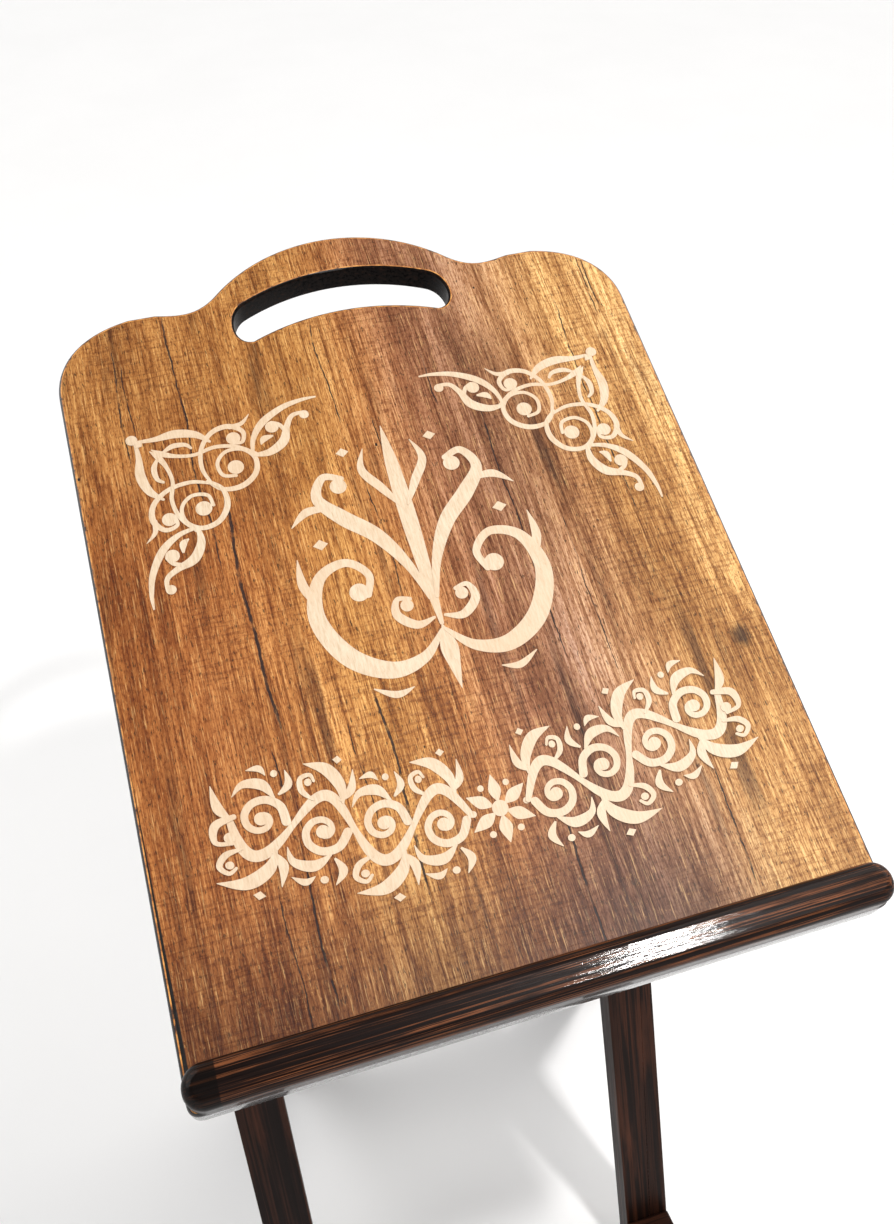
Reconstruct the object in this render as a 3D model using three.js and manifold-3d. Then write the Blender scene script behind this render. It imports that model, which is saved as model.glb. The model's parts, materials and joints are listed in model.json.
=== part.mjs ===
// A folding floor stand for a large book. A tilted board with a hand slot and a book ledge rides on two
// crossing leg frames. The rear frame is hinged under the ledge. The front frame carries a round bar that
// rests in the notches of two battens under the board, so the board stays tilted until the bar is lifted out.
import * as THREE from 'three';
import { mergeVertices } from 'three/addons/utils/BufferGeometryUtils.js';
import Module from 'manifold-3d';

const wasm = await Module();
wasm.setup();

// Driving dimensions, in millimetres and degrees.
const GAP = 0.3; // clearance between touching pieces
const TILT = 22; // board's slope from the horizontal
const LEDGE_LINE_HEIGHT = 600; // floor to the line where ledge and board face meet
const FRONT_SLOPE = 52.4; // front frame's angle from the board
const REAR_FOOT_REACH = 330; // ledge line to the rear feet, along the floor

const BOARD_WIDTH = 350;
const BOARD_THICKNESS = 18;
const BOARD_FOOT = -23; // board's lower edge, below the ledge line
const BOARD_CORNER = 7; // rounding of its lower corners
const SHOULDER_HEIGHT = 421.5;
const SHOULDER_START = 372; // where the straight sides end
const SHOULDER_WIDTH = 47; // sideways reach of a rounded shoulder
const SHOULDER_RISE = 23; // how far the side aims straight on before it rounds over
const SHOULDER_REACH = 33; // how far the shoulder's top aims outward, and how far below its height
const SHOULDER_DROP = 5.5;
const NECK_HALF = 112; // where the shoulder dips towards the handle
const NECK_REACH = 15;
const NECK_DIP = 3;
const HANDLE_HALF = 72;
const HANDLE_TOP = 458.8;
const HANDLE_RADIUS = 106;

const SLOT_HALF = 58;
const SLOT_END_REACH = 12.4;
const SLOT_END_DROP = 6;
const SLOT_TOP = 431.8;
const SLOT_TOP_RADIUS = 132;
const SLOT_FLOOR = 401.2;
const SLOT_FLOOR_RADIUS = 150;

const LEDGE_DEPTH = 20.6;
const LEDGE_HEIGHT = 16;
const LEDGE_CORNER = 10;
const LEDGE_ROUND = 5.5;

const INLAY_THICKNESS = 1;
const CORNER_INLAY_X = 139.5;
const CORNER_INLAY_Y = 334.2;
const CENTRE_INLAY_Y = 227;
const CENTRE_INLAY_HALF = 70;
const CENTRE_INLAY_RISE = 86;
const CENTRE_INLAY_POINT = 14; // how far its pointed ends stand out from the lobes
const GARLAND_Y = 75;
const GARLAND_HALF = 143;
const GARLAND_LIFT = 36; // how far the garland's ends rise above its middle
const GARLAND_RISE = 41; // half its height in the middle

const LEG_WIDTH = 34;
const LEG_DEPTH = 22;
const LEG_SIDE_GAP = 2; // between the legs of the two frames
const FRAME_OUTSIDE = 172;
const BAR_RADIUS = 10;
const BAR_DROP = 15; // board's underside to the bar's axis
const RAIL_THICKNESS = 16;
const RAIL_HEIGHT = 30;
const FRONT_LOWER_RAIL = -315; // rail heights along the legs, from the crossing
const FRONT_UPPER_RAIL = 190;
const REAR_LOWER_RAIL = -290;
const REAR_MIDDLE_RAIL = -120;
const FOOT_HEIGHT = 8;
const FOOT_LENGTH = 28;
const FOOT_WIDTH = 30;

const HINGE_Y = 30; // hinge axis up the board from the ledge line
const HINGE_DROP = 4; // hinge axis below the board's underside
const HINGE_WIDTH = 30;
const HINGE_LENGTH = 28;
const HINGE_PLATE = 2;
const KNUCKLE_RADIUS = 3.6;
const KNUCKLE_SPLIT = 7.5; // half the middle knuckle's length
const HINGE_PIN_RADIUS = 1.5;
const LEG_TOP_CLEARANCE = 2;

const BATTEN_X = 78;
const BATTEN_WIDTH = 20;
const BATTEN_THICKNESS = 20;
const BATTEN_START = 108;
const BATTEN_END = 300;
const FIRST_NOTCH = 271.1; // bar's place up the board
const NOTCH_COUNT = 4;
const NOTCH_PITCH = 42;
const NOTCH_SLOPE = 36;

const BOLT_RADIUS = 3;
const BOLT_HEAD_RADIUS = 7;
const BOLT_HEAD_HEIGHT = 3.4;
const NUT_RADIUS = 5.8;
const NUT_HEIGHT = 5;
const NUT_DOME = 4;
const WASHER_RADIUS = 9;
const SCREW_HEAD_HEIGHT = 2.4;
const ROUND = 24; // sides of a round piece
const SMALL_ROUND = 10; // sides of a screw
const ARC_STEPS = 24;
const OUTLINE_STEPS = 10;
const END_STEPS = 8;

const rad = THREE.MathUtils.degToRad;

// Materials.
const finish = (color, roughness, metalness = 0) =>
  new THREE.MeshStandardMaterial({ color, roughness, metalness });
const boardWood = finish(0xa9672f, 0.5);
const ledgeWood = finish(0x3a1c10, 0.18);
const legWood = finish(0x2b1a12, 0.35);
const inlayWood = finish(0xf6dfc4, 0.55);
const steel = finish(0x9a9a9c, 0.3, 1);
const brass = finish(0xb08d4a, 0.32, 1);
const rubber = finish(0x161616, 0.85);

// Solid joins and cuts.
function solidOf(geometry) {
  const bare = geometry.clone();
  bare.deleteAttribute('normal');
  bare.deleteAttribute('uv');
  const merged = mergeVertices(bare, 1e-4);
  return new wasm.Manifold(new wasm.Mesh({
    numProp: 3,
    vertProperties: new Float32Array(merged.attributes.position.array),
    triVerts: new Uint32Array(merged.index.array),
  }));
}

function geometryOf(solid) {
  const mesh = solid.getMesh();
  const geometry = new THREE.BufferGeometry();
  geometry.setAttribute('position', new THREE.BufferAttribute(new Float32Array(mesh.vertProperties), 3));
  geometry.setIndex(new THREE.BufferAttribute(new Uint32Array(mesh.triVerts), 1));
  geometry.computeVertexNormals();
  return geometry;
}

function cut(geometry, cutters) {
  const solid = cutters.reduce((left, cutter) => left.subtract(solidOf(cutter)), solidOf(geometry));
  return geometryOf(solid);
}

function join(geometries) {
  const solids = geometries.map(solidOf);
  return geometryOf(solids.reduce((sum, next) => sum.add(next)));
}

// Basic shapes.
function block(x0, x1, y0, y1, z0, z1) {
  const box = new THREE.BoxGeometry(x1 - x0, y1 - y0, z1 - z0);
  return box.translate((x0 + x1) / 2, (y0 + y1) / 2, (z0 + z1) / 2);
}

// A rod along X between x0 and x1, centred on (y, z).
function rodX(radius, x0, x1, y, z, sides = ROUND) {
  const rod = new THREE.CylinderGeometry(radius, radius, x1 - x0, sides);
  return rod.rotateZ(Math.PI / 2).translate((x0 + x1) / 2, y, z);
}

// A rod along Y between y0 and y1, centred on (x, z).
function rodY(radius, y0, y1, x, z, sides = SMALL_ROUND) {
  const rod = new THREE.CylinderGeometry(radius, radius, y1 - y0, sides);
  return rod.translate(x, (y0 + y1) / 2, z);
}

// A rod along Z between z0 and z1, centred on (x, y).
function rodZ(radius, z0, z1, x, y, sides = SMALL_ROUND) {
  const rod = new THREE.CylinderGeometry(radius, radius, z1 - z0, sides);
  return rod.rotateX(Math.PI / 2).translate(x, y, (z0 + z1) / 2);
}

// A flat shape in X and Y, pulled up from z0 to z1.
function plate(shape, z0, z1, steps = END_STEPS) {
  const body = new THREE.ExtrudeGeometry(shape, { depth: z1 - z0, bevelEnabled: false, curveSegments: steps });
  return body.translate(0, 0, z0);
}

// A side profile in Y and Z, pulled along X from x0 to x1.
function profileX(shape, x0, x1, steps = END_STEPS) {
  const body = new THREE.ExtrudeGeometry(shape, { depth: x1 - x0, bevelEnabled: false, curveSegments: steps });
  return body.rotateY(Math.PI / 2).rotateX(Math.PI / 2).translate(x0, 0, 0);
}

// A pan-head screw with its head's seat at the origin and its shank along -Z.
function screw(headRadius, shankRadius, shankLength) {
  const crown = 0.7;
  const profile = [
    [0, -shankLength],
    [shankRadius, -shankLength + 2 * shankRadius],
    [shankRadius, 0],
    [headRadius, 0],
    [headRadius, SCREW_HEAD_HEIGHT / 2],
    [headRadius * crown, SCREW_HEAD_HEIGHT],
    [0, SCREW_HEAD_HEIGHT],
  ].map(([r, z]) => new THREE.Vector2(r, z));
  return new THREE.LatheGeometry(profile, SMALL_ROUND).rotateX(Math.PI / 2);
}

// Points along an arc that bulges toward +Y, from x0 to x1, with its highest point at (0, top).
function archPoints(x0, x1, top, radius, steps = ARC_STEPS) {
  const points = [];
  for (let i = 0; i <= steps; i += 1) {
    const x = x0 + (x1 - x0) * i / steps;
    const drop = radius - Math.sqrt(radius * radius - x * x);
    points.push(new THREE.Vector2(x, top - drop));
  }
  return points;
}

// Adds points to a path, skipping its first one where the path already stands there.
function follow(path, points) {
  points.forEach((point) => path.lineTo(point.x, point.y));
}

// Board: straight sides, rounded shoulders, and an arched handle.
function boardOutline() {
  const half = BOARD_WIDTH / 2;
  const shoulder = half - SHOULDER_WIDTH;
  const arch = archPoints(HANDLE_HALF, 0, HANDLE_TOP, HANDLE_RADIUS);
  const foot = arch[0];
  const side = new THREE.Path();
  side.moveTo(half - BOARD_CORNER, BOARD_FOOT);
  side.quadraticCurveTo(half, BOARD_FOOT, half, BOARD_FOOT + BOARD_CORNER);
  side.lineTo(half, SHOULDER_START);
  side.bezierCurveTo(
    half,
    SHOULDER_START + SHOULDER_RISE,
    shoulder + SHOULDER_REACH,
    SHOULDER_HEIGHT - SHOULDER_DROP,
    shoulder,
    SHOULDER_HEIGHT,
  );
  side.lineTo(NECK_HALF, SHOULDER_HEIGHT);
  side.bezierCurveTo(
    NECK_HALF - NECK_REACH,
    SHOULDER_HEIGHT - NECK_DIP,
    foot.x + NECK_REACH,
    foot.y - NECK_REACH,
    foot.x,
    foot.y,
  );
  follow(side, arch.slice(1));
  const right = side.getPoints(OUTLINE_STEPS);
  const left = right.slice(0, -1).map(({ x, y }) => new THREE.Vector2(-x, y)).reverse();
  return new THREE.Shape([...right, ...left]);
}

// Hand slot: an arched band with rounded ends.
function slotOutline() {
  const top = archPoints(-SLOT_HALF, SLOT_HALF, SLOT_TOP, SLOT_TOP_RADIUS);
  const floor = archPoints(SLOT_HALF, -SLOT_HALF, SLOT_FLOOR, SLOT_FLOOR_RADIUS);
  const reach = SLOT_HALF + SLOT_END_REACH;
  const endTop = top[0].y - SLOT_END_DROP;
  const shape = new THREE.Shape();
  shape.moveTo(top[0].x, top[0].y);
  follow(shape, top.slice(1));
  shape.bezierCurveTo(reach, endTop, reach, floor[0].y, floor[0].x, floor[0].y);
  follow(shape, floor.slice(1));
  shape.bezierCurveTo(-reach, floor[0].y, -reach, endTop, top[0].x, top[0].y);
  return shape;
}

// A ring of points moved outward by a distance. The ring runs anticlockwise.
function grown(ring, distance) {
  return ring.map((point, i) => {
    const before = point.clone().sub(ring[(i + ring.length - 1) % ring.length]).normalize();
    const after = ring[(i + 1) % ring.length].clone().sub(point).normalize();
    const outward = new THREE.Vector2(before.y + after.y, -before.x - after.x).normalize();
    const stretch = distance / Math.max(0.4, outward.x * after.y - outward.y * after.x);
    return point.clone().addScaledVector(outward, stretch);
  });
}

// Corner inlay: two leafy arms that meet at the corner, one along the top and one down the side.
// The side is -1 at the left and 1 at the right.
function cornerInlayOutline(side, grow) {
  const arm = [[14, 3], [30, 4], [48, 6], [64, 1], [84, -4], [108, -7]];
  const under = [[109, -4], [98, 3], [86, 13], [74, 14], [62, 26], [55, 38], [44, 37]];
  const near = [...arm, ...under];
  const mirrored = near.map(([u, v]) => [v, u]).reverse();
  const ring = [[-2, -2], ...near, [39, 39], ...mirrored];
  const placed = ring.map(([u, v]) => new THREE.Vector2(side * (CORNER_INLAY_X - u), CORNER_INLAY_Y - v));
  return new THREE.Shape(grown(side > 0 ? placed : placed.reverse(), grow));
}

// Centre inlay: a pointed medallion with lobed sides.
function centreInlayOutline(grow) {
  const points = [];
  const count = 64;
  const lobes = 8;
  const lobedRise = CENTRE_INLAY_RISE - CENTRE_INLAY_POINT;
  for (let i = 0; i < count; i += 1) {
    const angle = 2 * Math.PI * i / count;
    const lobe = 0.9 + 0.1 * Math.cos(lobes * angle);
    const point = Math.cos(angle) ** 4;
    const across = CENTRE_INLAY_HALF * lobe * Math.sin(angle);
    const rise = (lobedRise * lobe + CENTRE_INLAY_POINT * point) * Math.cos(angle);
    points.push(new THREE.Vector2(-across, CENTRE_INLAY_Y + rise));
  }
  return new THREE.Shape(grown(points, grow));
}

// Garland inlay: a broad scalloped band whose ends curl upward.
function garlandOutline(grow) {
  const steps = 36;
  const scallops = 9;
  const upper = [];
  const lower = [];
  for (let i = 0; i <= steps; i += 1) {
    const t = 2 * i / steps - 1;
    const middle = GARLAND_Y + GARLAND_LIFT * t * t;
    const swell = Math.sqrt(Math.max(0, 1 - t ** 4));
    const scallop = 1 - 0.08 * Math.abs(Math.sin(scallops * Math.PI * (t + 1) / 2));
    const rise = GARLAND_RISE * swell * scallop + 2;
    const x = t * GARLAND_HALF;
    lower.push(new THREE.Vector2(x, middle - rise));
    upper.unshift(new THREE.Vector2(x, middle + rise));
  }
  return new THREE.Shape(grown([...lower, ...upper], grow));
}

// Notched batten's side profile: one straight top edge, and sawtooth seats for the bar along the bottom.
function battenProfile(firstNotch, underside) {
  const top = underside - GAP;
  const bottom = top - BATTEN_THICKNESS;
  const axis = underside - BAR_DROP;
  const seat = BAR_RADIUS + GAP;
  const slope = rad(NOTCH_SLOPE);
  const corner = 5;
  const shape = new THREE.Shape();
  shape.moveTo(BATTEN_END, top);
  shape.lineTo(BATTEN_START, top);
  shape.lineTo(BATTEN_START, bottom + corner);
  shape.lineTo(BATTEN_START + corner, bottom);
  for (let i = NOTCH_COUNT - 1; i >= 0; i -= 1) {
    const y = firstNotch - i * NOTCH_PITCH;
    const rampTop = axis + seat * Math.cos(slope);
    const rampY = y - seat * Math.sin(slope);
    shape.lineTo(rampY - (rampTop - bottom) / Math.tan(slope), bottom);
    for (let k = 0; k <= END_STEPS; k += 1) {
      const angle = Math.PI / 2 + slope - (Math.PI / 2 + slope) * k / END_STEPS;
      shape.lineTo(y + seat * Math.cos(angle), axis + seat * Math.sin(angle));
    }
    shape.lineTo(y + seat, bottom);
  }
  shape.lineTo(BATTEN_END - corner, bottom);
  shape.lineTo(BATTEN_END, bottom + corner);
  return shape;
}

// Where things stand, in the upright plane of Y and Z, with the ledge line at y = 0.
const tilt = rad(TILT);
const upBoard = new THREE.Vector2(Math.cos(tilt), Math.sin(tilt));
const outOfBoard = new THREE.Vector2(-Math.sin(tilt), Math.cos(tilt));
const underside = -BOARD_THICKNESS;

function onBoard(y, z) {
  const point = upBoard.clone().multiplyScalar(y).addScaledVector(outOfBoard, z);
  point.y += LEDGE_LINE_HEIGHT;
  return point;
}

const frontSlope = tilt + rad(FRONT_SLOPE);
const frontDirection = new THREE.Vector2(Math.cos(frontSlope), Math.sin(frontSlope));
const barAxis = onBoard(FIRST_NOTCH, underside - BAR_DROP);
const hingeAxis = onBoard(HINGE_Y, underside - HINGE_DROP);
const legHalf = LEG_DEPTH / 2;
const hingeOffset = legHalf + HINGE_DROP; // hinge axis ahead of the rear legs' middle line
const rearFoot = new THREE.Vector2(REAR_FOOT_REACH, 0);
const footToHinge = hingeAxis.clone().sub(rearFoot);
const rearSlope = footToHinge.angle() - Math.asin(hingeOffset / footToHinge.length());
const rearDirection = new THREE.Vector2(Math.cos(rearSlope), Math.sin(rearSlope));

function crossingPoint() {
  const frontFootY = barAxis.x - frontDirection.x * barAxis.y / frontDirection.y;
  const lean = frontDirection.x / frontDirection.y - rearDirection.x / rearDirection.y;
  const height = (rearFoot.x - frontFootY) / lean;
  return new THREE.Vector2(frontFootY + height * frontDirection.x / frontDirection.y, height);
}

const crossing = crossingPoint();
const frontReach = barAxis.distanceTo(crossing);
const rearReach = hingeAxis.clone().sub(crossing).dot(rearDirection);

// Leg's bottom cut, level with the floor, at a place across the leg's depth.
function soleAt(y, slope) {
  const turn = slope - Math.PI / 2;
  return (FOOT_HEIGHT + GAP - crossing.y - y * Math.sin(turn)) / Math.cos(turn);
}

function frontLegProfile() {
  const shape = new THREE.Shape();
  shape.moveTo(-legHalf, soleAt(-legHalf, frontSlope));
  shape.lineTo(legHalf, soleAt(legHalf, frontSlope));
  shape.lineTo(legHalf, frontReach);
  shape.absarc(0, frontReach, legHalf, 0, Math.PI, false);
  return shape;
}

function rearLegProfile() {
  const lean = tilt - (rearSlope - Math.PI / 2);
  const top = rearReach + HINGE_DROP - LEG_TOP_CLEARANCE;
  const topAt = (y) => top + (y + hingeOffset) * Math.tan(lean);
  const shape = new THREE.Shape();
  shape.moveTo(-legHalf, soleAt(-legHalf, rearSlope));
  shape.lineTo(legHalf, soleAt(legHalf, rearSlope));
  shape.lineTo(legHalf, topAt(legHalf));
  shape.lineTo(-legHalf, topAt(-legHalf));
  return shape;
}

// The group that each frame is built in: origin at the crossing, Z up the legs, Y to the rear.
function frameGroup(slope) {
  const group = new THREE.Group();
  group.position.set(0, crossing.x, crossing.y);
  group.rotation.x = slope - Math.PI / 2;
  return group;
}

const stand = new THREE.Group();
const frontFrame = frameGroup(frontSlope);
const rearFrame = frameGroup(rearSlope);
const board = new THREE.Group();
const feet = new THREE.Group();
board.position.z = LEDGE_LINE_HEIGHT;
board.rotation.x = tilt;
stand.add(frontFrame, rearFrame, board, feet);

function add(group, name, geometry, material) {
  const mesh = new THREE.Mesh(geometry, material);
  mesh.name = name;
  group.add(mesh);
  return mesh;
}

// Places of the legs across the stand. The two frames are alike and stand one leg's width apart.
const step = LEG_WIDTH + LEG_SIDE_GAP;
const frontLegs = {
  left: [-FRAME_OUTSIDE, LEG_WIDTH - FRAME_OUTSIDE],
  right: [FRAME_OUTSIDE - step - LEG_WIDTH, FRAME_OUTSIDE - step],
};
const rearLegs = {
  left: [step - FRAME_OUTSIDE, step + LEG_WIDTH - FRAME_OUTSIDE],
  right: [FRAME_OUTSIDE - LEG_WIDTH, FRAME_OUTSIDE],
};
const middleOf = ([low, high]) => (low + high) / 2;
const SIDES = ['left', 'right'];

// Screw sizes: head radius, shank radius and shank length.
const railScrew = [4.2, 2, 30];
const barScrew = [4.6, 2.2, 52];
const battenScrew = [3.6, 1.8, 26];
const ledgeScrew = [3.6, 1.8, 26];
const hingeScrew = [2.6, 1.3, 11];

// Leg frames.
function addLegs(group, prefix, legs, profile, boltHole, rails, extraHoles) {
  SIDES.forEach((side) => {
    const [low, high] = legs[side];
    const leg = profileX(profile, low, high);
    const holes = [rodX(boltHole, low - 1, high + 1, 0, 0, ROUND), ...extraHoles(low, high)];
    rails.forEach(({ z, face }) => {
      const depth = legHalf - (railScrew[2] - RAIL_THICKNESS) - 1;
      const ends = face > 0 ? [depth, legHalf + 1] : [-legHalf - 1, -depth];
      holes.push(rodY(railScrew[1] + GAP, ends[0], ends[1], middleOf(legs[side]), z));
    });
    add(group, `${prefix}_leg_${side}`, cut(leg, holes), legWood);
  });
}

// A rail lies across the legs' front face or rear face, with a screw into each leg.
function addRail(group, name, legs, z, face) {
  const inner = legHalf + GAP;
  const outer = inner + RAIL_THICKNESS;
  const [y0, y1] = face > 0 ? [inner, outer] : [-outer, -inner];
  const rail = block(legs.left[0], legs.right[1], y0, y1, z - RAIL_HEIGHT / 2, z + RAIL_HEIGHT / 2);
  const holes = SIDES.map((side) => rodY(railScrew[1] + GAP, y0 - 1, y1 + 1, middleOf(legs[side]), z));
  add(group, name, cut(rail, holes), legWood);
  SIDES.forEach((side) => {
    const body = screw(...railScrew).rotateX(face > 0 ? -Math.PI / 2 : Math.PI / 2);
    const seat = face * (outer + GAP);
    add(group, `${name}_screw_${side}`, body.translate(middleOf(legs[side]), seat, z), steel);
  });
}

const FRONT_RAILS = [
  { name: 'front_lower_rail', z: FRONT_LOWER_RAIL, face: -1 },
  { name: 'front_upper_rail', z: FRONT_UPPER_RAIL, face: 1 },
];
const REAR_RAILS = [
  { name: 'rear_lower_rail', z: REAR_LOWER_RAIL, face: 1 },
  { name: 'rear_middle_rail', z: REAR_MIDDLE_RAIL, face: 1 },
];

addLegs(frontFrame, 'front', frontLegs, frontLegProfile(), BOLT_RADIUS + 2 * GAP, FRONT_RAILS, (low, high) => [
  rodX(barScrew[1] + GAP, low - 1, high + 1, 0, frontReach, SMALL_ROUND),
]);
addLegs(rearFrame, 'rear', rearLegs, rearLegProfile(), BOLT_RADIUS + GAP, REAR_RAILS, (low, high) => {
  const reach = (low + high) / 2;
  return [-1, 1].map((sign) => rodY(
    hingeScrew[1] + GAP,
    -legHalf - 1,
    hingeScrew[2] - legHalf,
    reach + sign * 5,
    rearReach - HINGE_LENGTH / 2 - 5 * sign,
  ));
});
FRONT_RAILS.forEach(({ name, z, face }) => addRail(frontFrame, name, frontLegs, z, face));
REAR_RAILS.forEach(({ name, z, face }) => addRail(rearFrame, name, rearLegs, z, face));

// Round bar at the top of the front frame, with a long screw through each leg into its end.
function addBar() {
  const low = frontLegs.left[1] + GAP;
  const high = frontLegs.right[0] - GAP;
  const bite = barScrew[2] - LEG_WIDTH + 1;
  const holes = [
    rodX(barScrew[1] + GAP, low - 1, low + bite, 0, frontReach, SMALL_ROUND),
    rodX(barScrew[1] + GAP, high - bite, high + 1, 0, frontReach, SMALL_ROUND),
  ];
  const bar = rodX(BAR_RADIUS, low, high, 0, frontReach, ROUND);
  add(frontFrame, 'front_top_bar', cut(bar, holes), legWood);
  const left = screw(...barScrew).rotateY(-Math.PI / 2);
  const right = screw(...barScrew).rotateY(Math.PI / 2);
  add(frontFrame, 'bar_screw_left', left.translate(frontLegs.left[0] - GAP, 0, frontReach), steel);
  add(frontFrame, 'bar_screw_right', right.translate(frontLegs.right[1] + GAP, 0, frontReach), steel);
}
addBar();

// Pivot bolt through each pair of crossing legs: round head outside, washer between, cap nut inside.
function addPivot(side) {
  const sign = side === 'left' ? -1 : 1;
  const outside = FRAME_OUTSIDE + GAP;
  const inside = FRAME_OUTSIDE - step - LEG_WIDTH - GAP;
  const nutEnd = inside - NUT_HEIGHT - NUT_DOME;
  const boltEnd = nutEnd + NUT_DOME / 2;
  const bolt = new THREE.LatheGeometry([
    [0, boltEnd],
    [BOLT_RADIUS, boltEnd],
    [BOLT_RADIUS, outside],
    [BOLT_HEAD_RADIUS, outside],
    [BOLT_HEAD_RADIUS, outside + BOLT_HEAD_HEIGHT / 2],
    [BOLT_HEAD_RADIUS * 0.75, outside + BOLT_HEAD_HEIGHT],
    [0, outside + BOLT_HEAD_HEIGHT],
  ].map(([r, x]) => new THREE.Vector2(r, x)), ROUND);
  const turn = -sign * Math.PI / 2;
  add(rearFrame, `pivot_bolt_${side}`, bolt.rotateZ(turn), steel);
  const middle = FRAME_OUTSIDE - LEG_WIDTH - LEG_SIDE_GAP / 2;
  const half = LEG_SIDE_GAP / 2 - GAP;
  const washer = new THREE.LatheGeometry([
    [BOLT_RADIUS + GAP, middle - half],
    [WASHER_RADIUS, middle - half],
    [WASHER_RADIUS, middle + half],
    [BOLT_RADIUS + GAP, middle + half],
    [BOLT_RADIUS + GAP, middle - half],
  ].map(([r, x]) => new THREE.Vector2(r, x)), ROUND);
  add(rearFrame, `pivot_washer_${side}`, washer.rotateZ(turn), steel);
  const bite = 0.01;
  const bored = inside + 1 - boltEnd + GAP;
  const hexagon = new THREE.CylinderGeometry(NUT_RADIUS, NUT_RADIUS, NUT_HEIGHT, 6);
  const dome = new THREE.CylinderGeometry(NUT_RADIUS * 0.8, NUT_RADIUS * 0.45, NUT_DOME, SMALL_ROUND);
  const bore = new THREE.CylinderGeometry(BOLT_RADIUS + GAP, BOLT_RADIUS + GAP, bored, SMALL_ROUND);
  hexagon.translate(0, inside - NUT_HEIGHT / 2, 0);
  dome.translate(0, nutEnd + NUT_DOME / 2 + bite, 0);
  bore.translate(0, inside + 1 - bored / 2, 0);
  const nut = cut(join([hexagon, dome]), [bore]);
  add(rearFrame, `pivot_nut_${side}`, nut.rotateZ(turn), steel);
}
SIDES.forEach(addPivot);

// Rubber feet, flat on the floor.
function addFeet(prefix, legs, slope) {
  const turn = slope - Math.PI / 2;
  const along = soleAt(0, slope);
  const y = crossing.x - along * Math.sin(turn);
  SIDES.forEach((side) => {
    const half = FOOT_WIDTH / 2;
    const reach = FOOT_LENGTH / 2;
    const corner = 4;
    const shape = new THREE.Shape();
    shape.moveTo(-half + corner, -reach);
    shape.lineTo(half - corner, -reach);
    shape.quadraticCurveTo(half, -reach, half, -reach + corner);
    shape.lineTo(half, reach - corner);
    shape.quadraticCurveTo(half, reach, half - corner, reach);
    shape.lineTo(-half + corner, reach);
    shape.quadraticCurveTo(-half, reach, -half, reach - corner);
    shape.lineTo(-half, -reach + corner);
    shape.quadraticCurveTo(-half, -reach, -half + corner, -reach);
    const pad = plate(shape, 0, FOOT_HEIGHT, 3).translate(middleOf(legs[side]), y, 0);
    add(feet, `${prefix}_foot_${side}`, pad, rubber);
  });
}
addFeet('front', frontLegs, frontSlope);
addFeet('rear', rearLegs, rearSlope);

// Board with its slot, inlay recesses and screw holes.
const BATTEN_SCREWS = [BATTEN_START + 10, BATTEN_END - 12];
const LEDGE_SCREWS = { left: -120, middle: 0, right: 120 };
const ledgeMiddle = BOARD_FOOT + LEDGE_DEPTH / 2;
const hingeX = { left: middleOf(rearLegs.left), right: middleOf(rearLegs.right) };
const boardHingeScrewY = HINGE_Y - HINGE_LENGTH / 2;
const HINGE_SCREW_X = 10;
const BATTEN_SCREW_BITE = 8; // depth of a batten screw's hole in the board

function blindHole(size, depth, x, y) {
  return rodZ(size[1] + GAP, underside - 1, underside + depth, x, y);
}

function addBoard() {
  const reach = INLAY_THICKNESS + GAP;
  const cutters = [plate(slotOutline(), underside - 1, 1, ARC_STEPS)];
  const recesses = [
    cornerInlayOutline(-1, GAP),
    cornerInlayOutline(1, GAP),
    centreInlayOutline(GAP),
    garlandOutline(GAP),
  ];
  recesses.forEach((shape) => cutters.push(plate(shape, -reach, 1)));
  [-BATTEN_X, BATTEN_X].forEach((x) => BATTEN_SCREWS.forEach((y) => {
    cutters.push(blindHole(battenScrew, BATTEN_SCREW_BITE, x, y));
  }));
  Object.values(LEDGE_SCREWS).forEach((x) => {
    cutters.push(rodZ(ledgeScrew[1] + GAP, underside - 1, 1, x, ledgeMiddle));
  });
  SIDES.forEach((side) => [-1, 1].forEach((sign) => {
    cutters.push(blindHole(hingeScrew, hingeScrew[2], hingeX[side] + sign * HINGE_SCREW_X, boardHingeScrewY));
  }));
  add(board, 'panel_board', cut(plate(boardOutline(), underside, 0), cutters), boardWood);
}
addBoard();

// Ledge: a rounded strip across the foot of the board.
function addLedge() {
  const half = BOARD_WIDTH / 2 - LEDGE_ROUND;
  const low = BOARD_FOOT + LEDGE_ROUND;
  const high = BOARD_FOOT + LEDGE_DEPTH - LEDGE_ROUND;
  const corner = LEDGE_CORNER - LEDGE_ROUND;
  const shape = new THREE.Shape();
  shape.absarc(half - corner, high - corner, corner, 0, Math.PI / 2, false);
  shape.absarc(corner - half, high - corner, corner, Math.PI / 2, Math.PI, false);
  shape.absarc(corner - half, low + corner, corner, Math.PI, 1.5 * Math.PI, false);
  shape.absarc(half - corner, low + corner, corner, 1.5 * Math.PI, 2 * Math.PI, false);
  const strip = new THREE.ExtrudeGeometry(shape, {
    depth: LEDGE_HEIGHT,
    bevelEnabled: true,
    bevelThickness: LEDGE_ROUND,
    bevelSize: LEDGE_ROUND,
    bevelSegments: 4,
    curveSegments: 4,
  });
  strip.translate(0, 0, -LEDGE_ROUND);
  const below = block(-BOARD_WIDTH, BOARD_WIDTH, -BOARD_WIDTH, BOARD_WIDTH, -LEDGE_HEIGHT, GAP);
  const cutters = [below];
  const bite = ledgeScrew[2] - BOARD_THICKNESS + 1;
  Object.values(LEDGE_SCREWS).forEach((x) => cutters.push(rodZ(ledgeScrew[1] + GAP, -1, bite, x, ledgeMiddle)));
  add(board, 'panel_ledge', cut(strip, cutters), ledgeWood);
  Object.entries(LEDGE_SCREWS).forEach(([side, x]) => {
    const body = screw(...ledgeScrew).rotateX(Math.PI);
    add(board, `ledge_screw_${side}`, body.translate(x, ledgeMiddle, underside - GAP), steel);
  });
}
addLedge();

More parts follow.
